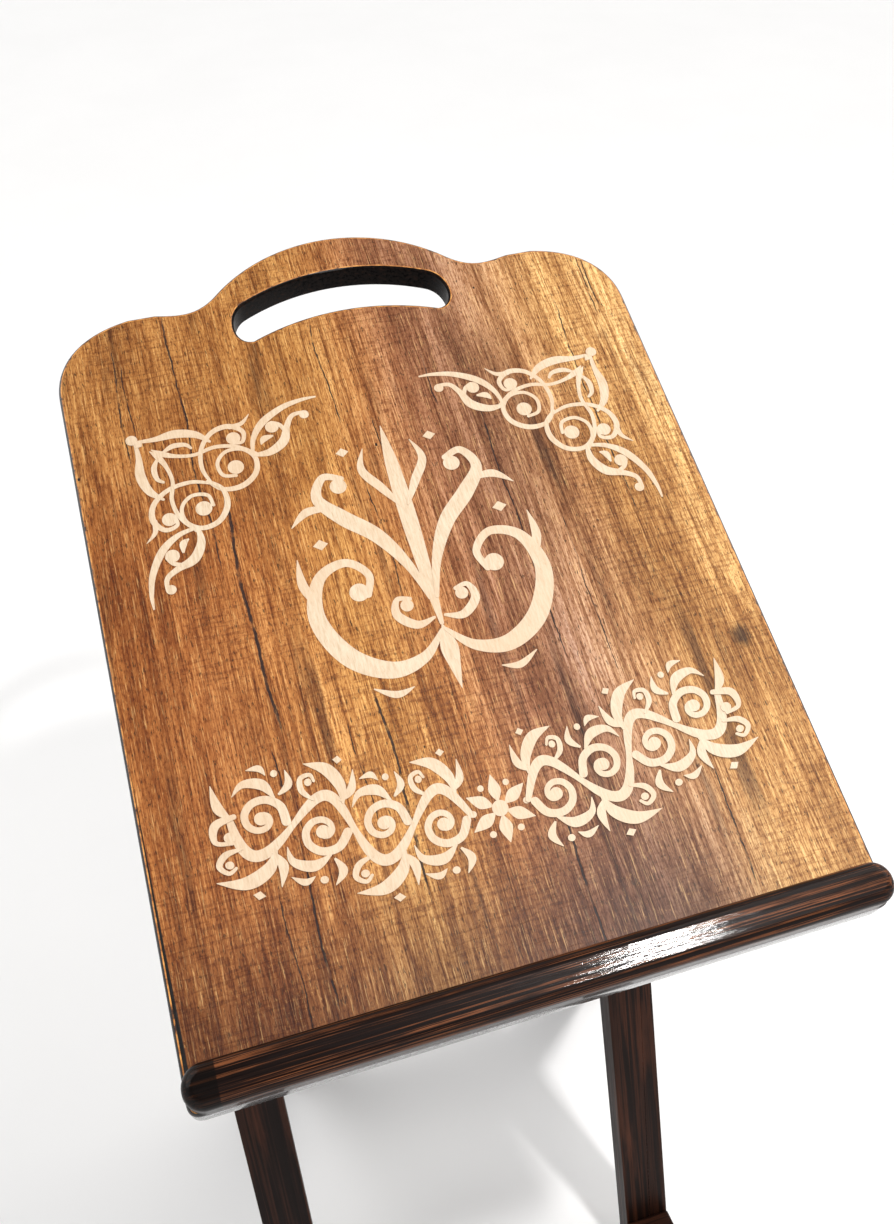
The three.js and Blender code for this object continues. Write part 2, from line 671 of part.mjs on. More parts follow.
// Inlays, flush with the board's face.
add(board, 'corner_inlay_left', plate(cornerInlayOutline(-1, 0), -INLAY_THICKNESS, 0), inlayWood);
add(board, 'corner_inlay_right', plate(cornerInlayOutline(1, 0), -INLAY_THICKNESS, 0), inlayWood);
add(board, 'centre_inlay', plate(centreInlayOutline(0), -INLAY_THICKNESS, 0), inlayWood);
add(board, 'garland_inlay', plate(garlandOutline(0), -INLAY_THICKNESS, 0), inlayWood);

// Notched battens under the board.
function addBatten(side) {
  const x = side === 'left' ? -BATTEN_X : BATTEN_X;
  const half = BATTEN_WIDTH / 2;
  const profile = battenProfile(FIRST_NOTCH, underside);
  const bottom = underside - GAP - BATTEN_THICKNESS;
  const holes = BATTEN_SCREWS.map((y) => rodZ(battenScrew[1] + GAP, bottom - 1, underside + 1, x, y));
  add(board, `rack_batten_${side}`, cut(profileX(profile, x - half, x + half), holes), legWood);
  BATTEN_SCREWS.forEach((y, i) => {
    const end = i === 0 ? 'lower' : 'upper';
    const body = screw(...battenScrew).rotateX(Math.PI);
    add(board, `rack_screw_${side}_${end}`, body.translate(x, y, bottom - GAP), steel);
  });
}
SIDES.forEach(addBatten);

// Butt hinge leaf: a plate with its knuckles, seen with the hinge axis along X at the origin. The plate runs
// along -Y, and lies on the +Z side of the axis.
function hingeLeaf(knuckles, screwOffsets) {
  const seat = HINGE_DROP - GAP;
  const clear = KNUCKLE_RADIUS + 2 * GAP;
  const half = HINGE_WIDTH / 2;
  const pieces = [block(-half, half, -HINGE_LENGTH, -clear, seat - HINGE_PLATE, seat)];
  knuckles.forEach(([low, high]) => {
    pieces.push(block(low, high, -clear - 1, 0, seat - HINGE_PLATE + GAP, seat - GAP / 2));
    pieces.push(rodX(KNUCKLE_RADIUS, low, high, 0, 0, 16));
  });
  const holes = [rodX(HINGE_PIN_RADIUS + GAP, -half - 1, half + 1, 0, 0, SMALL_ROUND)];
  screwOffsets.forEach(([x, y]) => holes.push(rodZ(hingeScrew[1] + GAP, 0, HINGE_DROP + 1, x, y)));
  return cut(join(pieces), holes);
}

function addHinge(side) {
  const half = HINGE_WIDTH / 2;
  const x = hingeX[side];
  const split = KNUCKLE_SPLIT;
  const middleKnuckle = [[-split + GAP, split - GAP]];
  const outerKnuckles = [[-half, -split - GAP], [split + GAP, half]];
  const boardScrews = [-1, 1].map((sign) => [sign * HINGE_SCREW_X, boardHingeScrewY - HINGE_Y]);
  const legScrews = [-1, 1].map((sign) => [sign * 5, -HINGE_LENGTH / 2 - 5 * sign]);
  const seat = HINGE_DROP - GAP - HINGE_PLATE - GAP;
  const axisZ = underside - HINGE_DROP;
  const boardLeaf = hingeLeaf(middleKnuckle, boardScrews);
  add(board, `hinge_leaf_board_${side}`, boardLeaf.translate(x, HINGE_Y, axisZ), brass);
  boardScrews.forEach(([dx, dy], i) => {
    const body = screw(...hingeScrew).rotateX(Math.PI);
    const name = `hinge_screw_board_${side}_${i + 1}`;
    add(board, name, body.translate(x + dx, HINGE_Y + dy, axisZ + seat), brass);
  });
  const mirrored = legScrews.map(([dx, dy]) => [-dx, dy]);
  const legLeaf = hingeLeaf(outerKnuckles, mirrored).rotateX(Math.PI / 2).rotateZ(Math.PI);
  add(rearFrame, `hinge_leaf_leg_${side}`, legLeaf.translate(x, -hingeOffset, rearReach), brass);
  legScrews.forEach(([dx, dy], i) => {
    const body = screw(...hingeScrew).rotateX(Math.PI / 2);
    const name = `hinge_screw_leg_${side}_${i + 1}`;
    add(rearFrame, name, body.translate(x + dx, -hingeOffset + seat, rearReach + dy), brass);
  });
  const pin = rodX(HINGE_PIN_RADIUS, x - half - 1, x + half + 1, -hingeOffset, rearReach, SMALL_ROUND);
  add(rearFrame, `hinge_pin_${side}`, pin, brass);
}
SIDES.forEach(addHinge);

// The origin is on the floor, under the middle of the stand.
stand.updateMatrixWorld(true);
const reach = new THREE.Box3().setFromObject(stand, true);
stand.position.y = -(reach.min.y + reach.max.y) / 2;

export default stand;
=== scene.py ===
"""A folding floor stand for a large book: looks, light and camera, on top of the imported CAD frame."""

import json
import math
import random

import bmesh
import bpy
from mathutils import Matrix, Vector


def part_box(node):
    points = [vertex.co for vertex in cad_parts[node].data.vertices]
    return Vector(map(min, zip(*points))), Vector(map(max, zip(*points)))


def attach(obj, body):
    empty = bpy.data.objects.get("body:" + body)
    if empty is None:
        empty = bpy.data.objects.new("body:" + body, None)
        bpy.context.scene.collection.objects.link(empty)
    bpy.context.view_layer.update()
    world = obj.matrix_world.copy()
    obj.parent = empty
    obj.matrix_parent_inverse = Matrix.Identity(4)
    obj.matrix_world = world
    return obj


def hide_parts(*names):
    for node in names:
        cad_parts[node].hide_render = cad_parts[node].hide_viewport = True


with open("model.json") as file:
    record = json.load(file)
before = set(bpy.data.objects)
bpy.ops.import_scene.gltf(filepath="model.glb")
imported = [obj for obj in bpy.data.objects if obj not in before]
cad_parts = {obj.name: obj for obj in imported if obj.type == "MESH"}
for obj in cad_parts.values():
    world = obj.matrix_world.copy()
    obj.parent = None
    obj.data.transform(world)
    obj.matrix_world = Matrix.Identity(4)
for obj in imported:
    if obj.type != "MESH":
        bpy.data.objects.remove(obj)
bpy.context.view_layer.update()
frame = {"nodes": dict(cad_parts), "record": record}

MM = 0.001
UP = Vector((0, 0, 1))
SIDES = ("left", "right")

# Driving sizes, as in the CAD part. Lengths are in millimetres and angles in degrees.
TILT = 22
FRONT_SLOPE = 74.4
REAR_SLOPE = 115.15
BOARD_WIDTH = 350
BOARD_THICKNESS = 18
BOARD_FOOT = -23
BOARD_CORNER = 7
SHOULDER_HEIGHT = 421.5
SHOULDER_START = 372
SHOULDER_WIDTH = 47
SHOULDER_RISE = 23
SHOULDER_REACH = 33
SHOULDER_DROP = 5.5
NECK_HALF = 112
NECK_REACH = 15
NECK_DIP = 3
HANDLE_HALF = 72
HANDLE_TOP = 458.8
HANDLE_RADIUS = 106
SLOT_HALF = 58
SLOT_END_REACH = 12.4
SLOT_END_DROP = 6
SLOT_TOP = 431.8
SLOT_TOP_RADIUS = 132
SLOT_FLOOR = 401.2
SLOT_FLOOR_RADIUS = 150
SLOT_WALL_REACH = 70
SLOT_WALL_LOW = SLOT_FLOOR - 16
SLOT_WALL_HIGH = SLOT_TOP + 0.4
ARRIS = 2.0
ARRIS_BARE = 0.06  # share of the arris's depth where the light wood shows
FLAT = 0.001
LEDGE_DEPTH = 20.6
LEDGE_HEIGHT = 16
LEDGE_GAP = 0.3
LEDGE_CORNER = 10
LEDGE_ROUND = 5.5
INLAY_PROUD = 0.12
INLAY_STEP = 0.006
INLAY_ROOT = -0.5
STROKE_THINNEST = 0.15
STROKE_ROUND_END = 1.0
CORNER_INLAY_X = 139.5
CORNER_INLAY_Y = 334.2
CENTRE_INLAY_Y = 227
GARLAND_Y = 75
GARLAND_HALF = 143
GARLAND_LIFT = 36
BOLT_HEAD = 3.4
BOLT_SHANK = 3.0
SCREW_HEAD = 2.4
SCREW_SHANK = 1.8
HINGE_SCREW_SHANK = 1.3
HEAD_SWEEP = math.radians(72)
NUT_BORE = 3.3
NUT_DOME = 4
WASHER_BORE = 3.4
PAD_CORNER = 4.5


# Frames of reference. Each maps a group's own metres to the world's.
def tilted(origin, degrees):
    return Matrix.Translation(origin) @ Matrix.Rotation(math.radians(degrees), 4, "X")


def board_origin():
    """The middle of the line where the ledge meets the board's face."""
    low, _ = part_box("panel_board")
    tilt = math.radians(TILT)
    drop = -BOARD_FOOT * MM
    rise = drop * math.sin(tilt) + BOARD_THICKNESS * MM * math.cos(tilt)
    return Vector((0, low[1] + drop * math.cos(tilt), low[2] + rise))


def crossing():
    """The middle of the axis that the leg frames cross on."""
    joints = frame["record"]["behaviour"]["joints"]
    place = next(joint["pos_m"] for joint in joints if joint["name"] == "leg_fold")
    return Vector(place)


BOARD = tilted(board_origin(), TILT)
FRONT = tilted(crossing(), FRONT_SLOPE - 90)
REAR = tilted(crossing(), REAR_SLOPE - 90)
BODY_FRAMES = {"board": BOARD, "front_frame": FRONT, "rear_frame": REAR}


# Camera: it looks down at the board from the reader's left, with its axis above the picture's middle.
CAMERA_FROM_LEDGE = Vector((-0.1239, -0.3301, 0.5548))
CAMERA_TURN = (50.946, 1.549, -17.459)
CAMERA_LENS = 38.459
CAMERA_SHIFT = (-0.0231, -0.0762)


def add_camera():
    data = bpy.data.cameras.new("camera")
    camera = bpy.data.objects.new("camera", data)
    bpy.context.collection.objects.link(camera)
    camera.location = board_origin() + CAMERA_FROM_LEDGE
    camera.rotation_euler = [math.radians(angle) for angle in CAMERA_TURN]
    data.sensor_width = 36
    data.lens = CAMERA_LENS
    data.shift_x, data.shift_y = CAMERA_SHIFT
    data.clip_start = 0.01
    bpy.context.scene.camera = camera


# Materials.
def linear(hex_colour):
    """A linear RGBA colour from a screen colour such as '#C8823C'."""
    parts = [int(hex_colour[i:i + 2], 16) / 255 for i in (1, 3, 5)]
    return [p / 12.92 if p <= 0.04045 else ((p + 0.055) / 1.055) ** 2.4 for p in parts] + [1.0]


class Recipe:
    """A material under construction. Its methods add nodes and return their output sockets."""

    def __init__(self, name, **settings):
        self.material = bpy.data.materials.new(name)
        self.material.use_nodes = True
        self.tree = self.material.node_tree
        self.shader = self.tree.nodes["Principled BSDF"]
        for socket, value in settings.items():
            self.shader.inputs[socket.replace("_", " ")].default_value = value

    def feed(self, node, socket, value):
        target = node.inputs[socket]
        if isinstance(value, bpy.types.NodeSocket):
            self.tree.links.new(value, target)
        else:
            target.default_value = value

    def node(self, kind, **inputs):
        node = self.tree.nodes.new(kind)
        for socket, value in inputs.items():
            self.feed(node, socket.replace("_", " "), value)
        return node

    def place(self, matrix=None, stretch=(1, 1, 1)):
        """Object coordinates in a frame of reference, stretched along its axes."""
        coords = self.tree.nodes.new("ShaderNodeTexCoord").outputs["Object"]
        if matrix is not None:
            turn = self.node("ShaderNodeMapping", Vector=coords)
            turn.vector_type = "TEXTURE"
            turn.inputs["Location"].default_value = matrix.to_translation()
            turn.inputs["Rotation"].default_value = matrix.to_euler()
            coords = turn.outputs["Vector"]
        return self.stretch(coords, stretch)

    def stretch(self, vector, scale, shift=(0, 0, 0)):
        return self.node("ShaderNodeMapping", Vector=vector, Scale=scale, Location=shift).outputs["Vector"]

    def noise(self, vector, detail=4.0, roughness=0.55, distortion=0.0):
        node = self.node("ShaderNodeTexNoise", Vector=vector, Scale=1.0, Detail=detail,
                         Roughness=roughness, Distortion=distortion)
        return node.outputs["Fac"]

    def spots(self, vector):
        return self.node("ShaderNodeTexVoronoi", Vector=vector, Scale=1.0)

    def math(self, operation, first, second=0.0):
        node = self.tree.nodes.new("ShaderNodeMath")
        node.operation = operation
        self.feed(node, 0, first)
        self.feed(node, 1, second)
        return node.outputs[0]

    def plus(self, first, second):
        return self.math("ADD", first, second)

    def minus(self, first, second):
        return self.math("SUBTRACT", first, second)

    def times(self, first, second):
        return self.math("MULTIPLY", first, second)

    def between(self, value, low, high, start=0.0, end=1.0):
        """Maps low..high smoothly to start..end."""
        node = self.node("ShaderNodeMapRange", Value=value, From_Min=low, From_Max=high, To_Min=start,
                         To_Max=end)
        node.interpolation_type = "SMOOTHSTEP"
        return node.outputs["Result"]

    def line(self, value, centre, width):
        """1 where value is at centre, falling to 0 at width away from it."""
        away = self.math("ABSOLUTE", self.minus(value, centre))
        return self.between(away, 0.0, width, 1.0, 0.0)

    def axis(self, vector, name):
        return self.node("ShaderNodeSeparateXYZ", Vector=vector).outputs[name]

    def ramp(self, value, stops):
        node = self.node("ShaderNodeValToRGB", Fac=value)
        elements = node.color_ramp.elements
        while len(elements) < len(stops):
            elements.new(0.5)
        for element, (position, colour) in zip(elements, stops):
            element.position = position
            element.color = linear(colour)
        return node.outputs["Color"]

    def mix(self, amount, first, second, blend="MIX"):
        node = self.tree.nodes.new("ShaderNodeMix")
        node.data_type = "RGBA"
        node.blend_type = blend
        self.feed(node, 0, amount)
        self.feed(node, 6, linear(first) if isinstance(first, str) else first)
        self.feed(node, 7, linear(second) if isinstance(second, str) else second)
        return node.outputs[2]

    def tint(self, amount, base, colour):
        """base, multiplied by colour as far as amount says."""
        return self.mix(amount, base, self.mix(1.0, base, colour, "MULTIPLY"))

    def finish(self, colour, wear, rough, height=None, distance=0.0001, strength=0.5):
        """Ends the recipe. wear is a noise that takes the roughness from rough[0] to rough[1]."""
        self.feed(self.shader, "Base Color", colour)
        self.feed(self.shader, "Roughness", self.between(wear, 0.3, 0.7, *rough))
        if height is not None:
            self.bump(height, distance, strength)
        return self.material

    def bump(self, height, distance, strength, socket="Normal"):
        node = self.node("ShaderNodeBump", Strength=strength, Distance=distance, Height=height)
        self.feed(self.shader, socket, node.outputs["Normal"])


# Wood patterns are stretched noise. The numbers given to stretch are repeats in a metre across and along
# the grain, and those given to between and ramp are heights of the noise, which runs from 0 to 1.
# The longest cracks are (x, y of the middle, half length, width), in metres on the board's face.
LONG_CRACKS = [
    (-0.108, 0.330, 0.110, 0.0007), (-0.096, 0.215, 0.090, 0.0012), (-0.142, 0.360, 0.050, 0.0006),
    (-0.100, 0.045, 0.050, 0.0008), (-0.045, 0.100, 0.070, 0.0010), (0.128, 0.300, 0.100, 0.0006),
    (0.060, 0.230, 0.110, 0.0006), (0.030, 0.020, 0.060, 0.0008), (0.112, 0.060, 0.070, 0.0006),
]
SHORT_CRACKS = 12
CRACK_SEED = 11
CRACK_DRIFT = 0.018
CRACK_RAGGEDNESS = 0.002


def cracks(r, place):
    """Fine dark checks that wander along the grain, as a mask."""
    chance = random.Random(CRACK_SEED)
    x, y = r.axis(place, "X"), r.axis(place, "Y")
    lines = list(LONG_CRACKS)
    for _ in range(SHORT_CRACKS):
        lines.append((chance.uniform(-0.165, 0.160), chance.uniform(0.02, 0.42), chance.uniform(0.02, 0.07),
                      chance.uniform(0.0004, 0.0007)))
    total = 0.0
    for number, (centre, middle, reach, width) in enumerate(lines):
        shift = (number, 0, 0)
        drift = r.noise(r.stretch(place, (0, 7, 0), shift), detail=2)
        ragged = r.noise(r.stretch(place, (240, 160, 0), shift), detail=3)
        path = r.plus(r.times(drift, CRACK_DRIFT), r.times(ragged, CRACK_RAGGEDNESS))
        line = r.line(r.minus(x, path), centre - (CRACK_DRIFT + CRACK_RAGGEDNESS) / 2, width)
        ends = r.line(y, middle, reach)
        total = r.math("MAXIMUM", total, r.times(line, r.between(ends, 0.0, 0.35)))
    dashes = r.noise(r.stretch(place, (40, 70, 0)), detail=3)
    return r.times(r.between(total, 0.0, 0.55), r.between(dashes, 0.36, 0.50, 0.35, 1.0))


def board_bands_and_light(r, place):
    """Broad bands of colour across the board, warmer at its upper left. The bands also hold painted light,
    brighter and more golden towards the right edge and darker at the left middle, and the foot beside the
    ledge is greyer with painted shade and a painted sheen.
    """
    wander = r.noise(r.stretch(place, (6, 3, 0)), detail=3)
    across = r.plus(r.axis(place, "X"), r.times(r.minus(wander, 0.5), 0.045))
    half = BOARD_WIDTH / 2 * MM
    position = r.between(across, -half, half)
    position.node.interpolation_type = "LINEAR"
    # The ramp holds the wood's bands together with painted light: golden and bright towards the right edge,
    # darker at the left middle.
    bands_with_light = r.ramp(position, [
        (0.00, "#BE8248"), (0.15, "#BA7E48"), (0.25, "#D2985A"), (0.37, "#E2B26C"), (0.48, "#CE9862"),
        (0.58, "#B88A6C"), (0.68, "#BA947C"), (0.78, "#D6AE84"), (0.86, "#F4CE8E"), (1.0, "#F0CA8A"),
    ])
    up = r.axis(place, "Y")
    warm = r.times(r.between(up, 0.24, 0.38), r.between(across, 0.02, -0.05))
    # Painted shade and a grey-violet painted sheen at the foot beside the ledge, fading out towards the
    # right end.
    foot = r.times(r.between(up, 0.085, 0.0), r.between(across, 0.14, 0.07))
    base = r.mix(r.times(warm, 0.75), bands_with_light, "#CFA05F")
    # Tints the foot with the painted shade and sheen.
    return r.tint(r.times(foot, 0.8), base, "#988D92")


def board_grain(r, place, base):
    """From cloudy patches down to single fibres, with painted golden glints on the brightest fibres. Returns
    the colour and two of the layers' heights.
    """
    layers = [
        ((14, 5, 0), 6, 0.60, [(0.34, "#CDBEAE"), (0.48, "#EEE6DC"), (0.60, "#FFFFFF")]),
        ((75, 2.4, 0), 4, 0.60, [(0.34, "#BCA894"), (0.47, "#E2D8CE"), (0.60, "#FFFFFF")]),
        ((420, 11, 0), 5, 0.66, [(0.34, "#B09880"), (0.46, "#E6DACE"), (0.54, "#FFFFFF")]),
        ((1300, 50, 0), 3, 0.70, [(0.34, "#AC927C"), (0.46, "#E6DACE"), (0.55, "#FFFFFF")]),
        ((900, 300, 0), 3, 0.70, [(0.36, "#C4AE9A"), (0.50, "#FFFFFF")]),
    ]
    tone = base
    heights = []
    for number, (scale, detail, roughness, stops) in enumerate(layers):
        height = r.noise(r.stretch(place, scale, (number, 2 * number, 0)), detail, roughness, 0.3)
        tone = r.mix(1.0, tone, r.ramp(height, stops), "MULTIPLY")
        heights.append(height)
    streak, fibre, grit = heights[-3:]
    # Painted golden glints along the brightest fibres.
    tone = r.mix(r.between(fibre, 0.56, 0.70, 0.0, 0.3), tone, "#FBD08A")
    tone = r.mix(r.between(grit, 0.60, 0.72, 0.0, 0.2), tone, "#F6C47C")
    return tone, streak, fibre


def ripples(r, place):
    """Fine ripples across the grain that come and go in patches, as a mask."""
    ripple = r.noise(r.stretch(place, (70, 520, 0)), detail=2, roughness=0.55, distortion=0.25)
    patch = r.between(r.noise(r.stretch(place, (9, 6, 0), (7, 2, 0)), detail=2), 0.40, 0.56)
    return r.times(r.between(ripple, 0.50, 0.62), patch)


def knots(r, place, streak):
    """A few small ragged knots, as a mask."""
    cells = r.spots(r.stretch(place, (10, 7, 0), (0.35, 0.2, 0)))
    chosen = r.between(r.axis(cells.outputs["Color"], "X"), 0.66, 0.68)
    ragged = r.times(r.minus(streak, 0.5), 0.10)
    spread = r.plus(cells.outputs["Distance"], ragged)
    return r.times(r.between(spread, 0.02, 0.07, 1.0, 0.0), chosen)


def worm_holes(r, place):
    """A few tiny round holes, as a mask."""
    cells = r.spots(r.stretch(place, (95, 60, 0), (3, 8, 0)))
    chosen = r.between(r.axis(cells.outputs["Color"], "Y"), 0.93, 0.94)
    return r.times(r.between(cells.outputs["Distance"], 0.05, 0.09, 1.0, 0.0), chosen)


def dark_left_rim(r, place, tone):
    """A nearly black strip painted on the face along its left rim, wider at the foot."""
    lean, start = -0.0125, -0.1711
    rim = r.plus(r.times(r.axis(place, "Y"), lean), start)
    rim_strip = r.between(r.minus(r.axis(place, "X"), rim), -0.0002, 0.0003, 1.0, 0.0)
    return r.mix(rim_strip, tone, "#0E0B0A")


def board_wood(name, dark):
    """Old grained timber: warm bands across the board that also hold painted light and shade, fine fibres
    along it with painted glints, ripples, cracks and knots.
    """
    r = Recipe(name, Specular_IOR_Level=0.14, Coat_Weight=0.05, Coat_Roughness=0.35)
    place = r.place(BOARD)
    tone, streak, fibre = board_grain(r, place, board_bands_and_light(r, place))
    rippled = ripples(r, place)
    tone = r.tint(r.times(rippled, 0.4), tone, "#A07F62")
    pores = r.noise(r.stretch(place, (900, 210, 0), (2, 5, 0)), detail=2, roughness=0.6)
    tone = r.mix(r.between(pores, 0.60, 0.68, 0.0, 0.8), tone, "#33200F")
    shade = r.noise(r.stretch(place, (60, 5, 0), (4, 6, 0)), detail=4, roughness=0.6)
    tone = r.tint(r.between(shade, 0.56, 0.72, 0.0, 0.75), tone, "#857A80")
    knot = knots(r, place, streak)
    tone = r.mix(r.times(knot, 0.85), tone, "#2A1A12")
    hole = worm_holes(r, place)
    tone = r.mix(hole, tone, "#171110")
    crack = cracks(r, place)
    tone = r.mix(r.times(crack, 0.92), tone, "#1B1416")
    # A nearly black strip painted along the face's left rim, wider at the foot.
    tone = dark_left_rim(r, place, tone)
    if dark:
        tone = r.tint(0.85, tone, "#5A4030")
    relief = r.minus(r.times(fibre, 0.7), r.times(crack, 1.2))
    relief = r.minus(relief, r.times(rippled, 0.25))
    relief = r.minus(relief, r.times(r.plus(hole, knot), 0.8))
    return r.finish(tone, fibre, (0.52, 0.40), relief, 0.0003, 0.8)


def stained_wood(name, place_frame, gloss, along="Z"):
    """Softwood under a dark stain: reddish-brown grain lines run along the piece, under lacquer."""
    r = Recipe(name, IOR=1.3, Specular_IOR_Level=0.14, Coat_Weight=0.02, Coat_Roughness=gloss)
    place = r.place(place_frame)

    def grain(across, lengthwise, shift=(0, 0, 0)):
        return r.stretch(place, [lengthwise if axis == along else across for axis in "XYZ"], shift)

    rings = r.noise(grain(210, 4), detail=4, roughness=0.6, distortion=0.5)
    base = r.ramp(rings, [(0.30, "#0E0705"), (0.48, "#1A0D09"), (0.58, "#3E2216"), (0.70, "#140B08")])
    broad = r.noise(grain(30, 2, (4, 1, 2)), detail=3)
    base = r.mix(r.between(broad, 0.40, 0.62, 0.0, 0.6), base, "#160D0A")
    pores = r.noise(grain(900, 18), detail=3, roughness=0.7)
    base = r.mix(r.between(pores, 0.52, 0.72, 0.0, 0.7), base, "#100906")
    glow = r.noise(grain(60, 9, (2, 8, 5)), detail=4)
    base = r.mix(r.between(glow, 0.58, 0.76, 0.0, 0.35), base, "#5A3322")
    return r.finish(base, pores, (0.34, 0.5), r.plus(r.times(pores, -0.6), rings), 0.00012)


def ledge_wood():
    """Dark stained pine under thick gloss, with brown year rings along it and a black left end."""
    r = Recipe("ledge_wood", IOR=1.3, Specular_IOR_Level=0.10, Coat_Weight=0.20, Coat_Roughness=0.05)
    place = r.place(BOARD)
    rings = r.noise(r.stretch(place, (3.2, 760, 760)), detail=4, roughness=0.6, distortion=0.2)
    base = r.ramp(rings, [(0.36, "#0C0605"), (0.49, "#190D08"), (0.555, "#74452A"), (0.62, "#21110B"),
                          (0.74, "#0F0806")])
    fibre = r.noise(r.stretch(place, (40, 1300, 1300)), detail=3, roughness=0.7)
    base = r.mix(r.between(fibre, 0.44, 0.62, 0.0, 0.75), base, "#120A08")
    patches = r.noise(r.stretch(place, (14, 60, 60), (3, 1, 7)), detail=4)
    base = r.mix(r.between(patches, 0.44, 0.60, 0.0, 0.75), base, "#140D0C")
    end = r.between(r.axis(place, "X"), -0.1592, -0.1585, 1.0, 0.0)
    base = r.mix(r.times(end, 0.85), base, "#0A0706")
    flow = r.noise(r.stretch(place, (60, 240, 240), (9, 3, 1)), detail=3)
    r.bump(r.plus(flow, r.times(rings, 0.45)), 0.00022, 0.7, "Coat Normal")
    return r.finish(base, fibre, (0.28, 0.42), r.plus(rings, r.times(fibre, 0.4)), 0.00018, 0.6)


def edge_lacquer(name, gloss):
    """Nearly black lacquer on the sawn edges, with the grain's relief just visible."""
    level = 0.08 + 0.5 * gloss
    r = Recipe(name, IOR=1.3, Specular_IOR_Level=level, Coat_Weight=gloss, Coat_Roughness=0.08)
    place = r.place(BOARD)
    grain = r.noise(r.stretch(place, (420, 120, 420)), detail=4, roughness=0.6)
    base = r.ramp(grain, [(0.35, "#0B0909"), (0.55, "#15100E"), (0.72, "#2A1A12")])
    return r.finish(base, grain, (0.24, 0.4), grain)


def arris_wood():
    """The sanded corner between face and edge, where light wood shows."""
    r = Recipe("arris_wood", Specular_IOR_Level=0.35, Coat_Weight=0.2, Coat_Roughness=0.25)
    grain = r.noise(r.place(BOARD, (160, 160, 160)), detail=4, roughness=0.65)
    base = r.ramp(grain, [(0.36, "#3A2013"), (0.48, "#A5682F"), (0.66, "#D89A50")])
    return r.finish(base, grain, (0.35, 0.5), grain)


def inlay_wood():
    """Pale close-grained maple with fine flecks and short pores."""
    r = Recipe("inlay_wood", Specular_IOR_Level=0.3, Coat_Weight=0.1, Coat_Roughness=0.3)
    place = r.place(BOARD)
    flecks = r.noise(r.stretch(place, (900, 120, 900)), detail=4, roughness=0.7)
    cloud = r.noise(r.stretch(place, (22, 14, 22), (5, 0, 0)), detail=3)
    base = r.ramp(flecks, [(0.32, "#B7A084"), (0.50, "#C6B298"), (0.70, "#CFBFA6")])
    base = r.mix(r.between(cloud, 0.35, 0.68, 0.0, 0.5), base, "#C3A585")
    pores = r.noise(r.stretch(place, (1700, 320, 1700), (1, 6, 0)), detail=2)
    base = r.mix(r.between(pores, 0.63, 0.72, 0.0, 0.4), base, "#A68460")
    return r.finish(base, flecks, (0.42, 0.58), flecks, 0.00006)


def metal(name, light, dark, tarnish):
    """Plated hardware: fine turning marks and soft, darker blotches."""
    r = Recipe(name, Metallic=1.0, Specular_IOR_Level=0.5)
    place = r.place()
    blotch = r.noise(r.stretch(place, (260, 260, 260)), detail=4, roughness=0.6)
    marks = r.noise(r.stretch(place, (4200, 600, 4200)), detail=3, roughness=0.7)
    base = r.mix(r.between(marks, 0.35, 0.65), light, dark)
    base = r.mix(r.between(blotch, 0.50, 0.72, 0.0, 0.6), base, tarnish)
    return r.finish(base, blotch, (0.22, 0.42), marks, 0.00002, 0.6)


def rubber():
    """Black rubber with a fine grit and a little dust."""
    r = Recipe("rubber", Specular_IOR_Level=0.3)
    place = r.place()
    grit = r.noise(r.stretch(place, (1500, 1500, 1500)), detail=3, roughness=0.7)
    dust = r.noise(r.stretch(place, (90, 90, 90)), detail=4)
    base = r.mix(r.between(grit, 0.35, 0.7), "#141313", "#242220")
    base = r.mix(r.between(dust, 0.55, 0.75, 0.0, 0.4), base, "#3A3632")
    return r.finish(base, grit, (0.75, 0.92), grit)


def floor_paint():
    """Plain matt white."""
    r = Recipe("floor_paint", Specular_IOR_Level=0.2)
    mottle = r.noise(r.place(None, (3, 3, 3)), detail=3)
    return r.finish(r.mix(r.between(mottle, 0.3, 0.7), "#F6F6F6", "#F4F4F4"), mottle, (0.55, 0.65))


# Mesh building. Shapes are made in millimetres in a frame of reference, then moved to the world in metres.
def add_piece(name, mesh, materials):
    mesh.validate()
    for material in materials:
        mesh.materials.append(material)
    piece = bpy.data.objects.new(name, mesh)
    bpy.context.collection.objects.link(piece)
    return piece


def finish_mesh(name, mesh, reference, materials, smooth=None):
    mesh.transform(reference @ Matrix.Scale(MM, 4))
    piece = add_piece(name, mesh, materials)
    if smooth is not None:
        for polygon in mesh.polygons:
            polygon.use_smooth = smooth(polygon)
    return piece


def stand_for(piece, node, body):
    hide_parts(node)
    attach(piece, body)
    return piece


def ring_stack(rings, capped=True):
    """A bmesh skin through rings of equally many points, closed at both ends."""
    shape = bmesh.new()
    loops = [[shape.verts.new(point) for point in ring] for ring in rings]
    count = len(loops[0])
    for low, high in zip(loops, loops[1:]):
        for i in range(count):
            j = (i + 1) % count
            shape.faces.new((low[i], low[j], high[j], high[i]))
    if capped:
        shape.faces.new(list(reversed(loops[0])))
        shape.faces.new(loops[-1])
    bmesh.ops.recalc_face_normals(shape, faces=shape.faces)
    return shape


def to_mesh(name, shape):
    mesh = bpy.data.meshes.new(name)
    shape.to_mesh(mesh)
    shape.free()
    return mesh


# Board.
def arch(x0, x1, top, radius, steps=48):
    """Points from x0 to x1 along an arc whose crown is at x = 0 and y = top."""
    points = []
    for i in range(steps + 1):
        x = x0 + (x1 - x0) * i / steps
        points.append((x, top - radius + math.sqrt(radius * radius - x * x)))
    return points


def bezier(a, b, c, d, steps=24):
    """Points along a cubic curve, without its first one."""
    points = []
    for i in range(1, steps + 1):
        t = i / steps
        s = 1 - t
        weights = (s ** 3, 3 * s * s * t, 3 * s * t * t, t ** 3)
        points.append(tuple(sum(w * p[k] for w, p in zip(weights, (a, b, c, d))) for k in (0, 1)))
    return points


